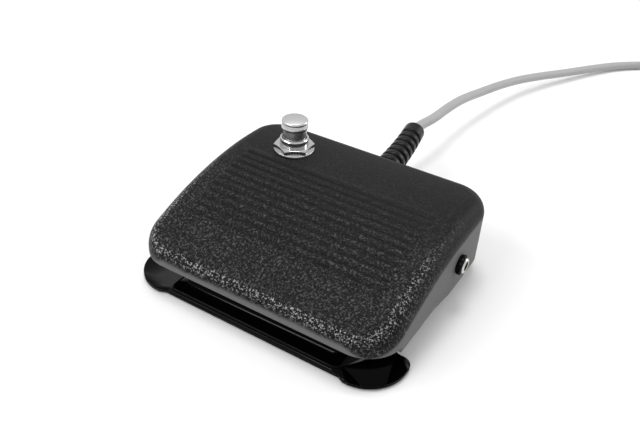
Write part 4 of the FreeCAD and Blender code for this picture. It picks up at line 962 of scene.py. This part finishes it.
class FOOTSWITCH_OT_relief(bpy.types.Operator):
    """Moulds the strain relief's collars and its grooved, tapered sleeve"""
    bl_idname = "footswitch.relief"
    bl_label = "Strain relief"

    def execute(self, context):
        sizes = context.scene.footswitch_relief
        rubber = plain_plastic("relief_rubber", (0.003, 0.003, 0.003), 0.30, 0.004, 0.22)
        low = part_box("strain_relief")[0][1]
        shoulder = sizes.start + sizes.straight / 2 + 0.5 * MM
        flange = sizes.start - COLLAR_GAP
        outline = ((0.0, low), (COLLAR_INSIDE - 0.3 * MM, low), (COLLAR_INSIDE, low + 0.3 * MM),
                   (COLLAR_INSIDE, flange), (COLLAR_NECK, flange), (COLLAR_NECK, sizes.start),
                   (COLLAR_OUTSIDE, sizes.start), (COLLAR_OUTSIDE, shoulder - 0.6 * MM),
                   (COLLAR_OUTSIDE - 0.5 * MM, shoulder), (0.0, shoulder))
        collars = turned("collar_form", outline)
        collars.transform(Matrix.Translation((0.0, 0.0, sizes.height)) @ Matrix.Rotation(math.radians(-90), 4, "X"))
        root = piece_from("relief_collars", collars, "base", rubber)
        piece_from("relief_sleeve", self.sleeve(sizes, rubber), "base", rubber, "strain_relief")
        return {"FINISHED"}

    def middle_line(self, sizes):
        """Points of the sleeve's middle line: square to the flange, then one arc up and to the left."""
        radius = (sizes.long - sizes.straight) / sizes.bend
        points = [(0.0, sizes.start + sizes.straight * 0.25, sizes.height)]
        for step in range(RELIEF_STEPS + 1):
            angle = sizes.bend * step / RELIEF_STEPS
            aside = radius * (1 - math.cos(angle)) / LEAN
            points.append((-aside, sizes.start + sizes.straight + radius * math.sin(angle), sizes.height + aside))
        return points

    def sleeve(self, sizes, rubber):
        """A round section carried along the middle line, drawn in at each groove."""
        start = placed("relief_run", curve_of("relief_line", "POLY", self.middle_line(sizes))[0])
        rule = Rule("relief_sleeve_rule", root=sizes.root, tip=sizes.tip, groove=sizes.groove, pitch=sizes.pitch,
                    grooves=sizes.grooves, cuff=sizes.cuff, steps=RELIEF_RINGS, sides=RELIEF_SIDES)
        run = rule.node("ResampleCurve", None, rule.form, Count=rule.steps)[0]
        factor, along, _ = rule.node("SplineParameter")
        long = sizes.long - sizes.straight * 0.25
        count = (long - rule.cuff - along) / rule.pitch
        wave = (count * (2 * math.pi)).math("COSINE") * 0.5 + 0.5
        inside = count.math("GREATER_THAN", -0.5) * (rule.grooves - 0.5 - count).math("GREATER_THAN", 0.0)
        end = along.step(long - 0.5 * MM, long)
        radius = rule.root + (rule.tip - rule.root) * factor - rule.groove * (wave ** 4.0) * inside - end * 0.4 * MM
        ring = rule.node("CurvePrimitiveCircle", None, rule.sides, Radius=1.0)[0]
        tube = rule.node("CurveToMesh", None, run, ring, Scale=radius, Fill_Caps=True)[0]
        mesh = rule.make(start, tube, rubber)
        smooth_faces(mesh, 50.0)
        return mesh


class FOOTSWITCH_OT_rubber(bpy.types.Operator):
    """Gives the feet, the pads and the buffers their rubber"""
    bl_idname = "footswitch.rubber"
    bl_label = "Rubber pieces"

    def execute(self, context):
        rubber = plain_plastic("foot_rubber", (0.025, 0.025, 0.025), 0.7)
        wear(rubber, "foot_front_left", "foot_front_right", "foot_rear_left", "foot_rear_right", "rest_pad_left",
             "rest_pad_right", "buffer_left", "buffer_right")
        return {"FINISHED"}


# name, body, joint, path of the far end in millimetres
SPRINGS = (("return_spring_left", "base", "cover_hinge", (0.0, -0.70, -4.2)),
           ("return_spring_right", "base", "cover_hinge", (0.0, -0.70, -4.2)),
           ("button_spring", "cover", "button_press", (0.0, 0.0, -3.0)))


class FOOTSWITCH_OT_mechanism(bpy.types.Operator):
    """Finishes the pieces inside the cover and the plug, and puts copies of the springs in their place"""
    bl_idname = "footswitch.mechanism"
    bl_label = "Mechanism"

    def execute(self, context):
        zinc = plain_metal("zinc_plate", (0.62, 0.62, 0.60), 0.34, 900.0)
        steel = plain_metal("spring_wire", (0.42, 0.42, 0.43), 0.30, 2500.0)
        nickel = plain_metal("nickel_plate", (0.72, 0.70, 0.66), 0.22, 1500.0)
        brass = plain_metal("tinned_brass", (0.72, 0.62, 0.42), 0.30, 1500.0)
        nylon = plain_plastic("nylon", (0.75, 0.74, 0.70), 0.5)
        black = plain_plastic("switch_moulding", (0.03, 0.03, 0.03), 0.35)
        gloss = plain_plastic("plug_moulding", (0.012, 0.012, 0.012), 0.25)
        red = plain_plastic("plunger_moulding", (0.45, 0.04, 0.03), 0.35)
        wear(zinc, "hinge_pin_left", "hinge_pin_right", "switch_bracket", "bracket_screws", "switch_screws",
             "switch_nuts", "button_lock_nut")
        wear(steel, "pin_ring_left", "pin_ring_right")
        for name, body, joint, path in SPRINGS:
            self.spring(name, body, joint, Vector(path) * MM, steel)
        wear(nickel, "switch_lever", "plug_pin")
        wear(brass, "switch_terminals", "button_lugs", "socket_lugs")
        wear(nylon, "hinge_bush_left", "hinge_bush_right", "spring_seat_left", "spring_seat_right")
        wear(black, "switch_case", "button_can", "socket_housing")
        wear(gloss, "plug_grip")
        wear(red, "switch_plunger")
        return {"FINISHED"}

    def spring(self, name, body, joint, path, steel):
        """A copy of a coil spring, with a mesh of its own, that stands for the imported one."""
        wire = piece_from(name + "_wire", merged_copy(name), body, steel, name)
        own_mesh(wire)


class FOOTSWITCH_PT_panel(bpy.types.Panel):
    """Lists the steps that dress the foot switch"""
    bl_idname = "FOOTSWITCH_PT_panel"
    bl_label = "Foot switch"
    bl_space_type = "VIEW_3D"
    bl_region_type = "UI"
    bl_category = "Foot switch"

    def draw(self, context):
        for operator in STEPS:
            self.layout.operator(operator.bl_idname)
        for name in GROUPS:
            box = self.layout.box()
            group = getattr(context.scene, name)
            for key in group.bl_rna.properties.keys():
                if key not in ("rna_type", "name"):
                    box.prop(group, key)


STEPS = (FOOTSWITCH_OT_stage, FOOTSWITCH_OT_relief, FOOTSWITCH_OT_lead, FOOTSWITCH_OT_cover, FOOTSWITCH_OT_plate,
         FOOTSWITCH_OT_button, FOOTSWITCH_OT_socket, FOOTSWITCH_OT_rubber, FOOTSWITCH_OT_mechanism)
GROUPS = {"footswitch_cover": FOOTSWITCH_PG_cover, "footswitch_metal": FOOTSWITCH_PG_metal,
          "footswitch_button": FOOTSWITCH_PG_button, "footswitch_relief": FOOTSWITCH_PG_relief,
          "footswitch_lead": FOOTSWITCH_PG_lead, "footswitch_stage": FOOTSWITCH_PG_stage}


def register():
    for item in (*GROUPS.values(), *STEPS, FOOTSWITCH_PT_panel):
        bpy.utils.register_class(item)
    for name, group in GROUPS.items():
        setattr(bpy.types.Scene, name, PointerProperty(type=group))


def unregister():
    for name in GROUPS:
        delattr(bpy.types.Scene, name)
    for item in reversed((*GROUPS.values(), *STEPS, FOOTSWITCH_PT_panel)):
        bpy.utils.unregister_class(item)


def main():
    register()
    for step in STEPS:
        getattr(bpy.ops.footswitch, step.bl_idname.split(".")[1])()


if __name__ == "__main__":
    main()
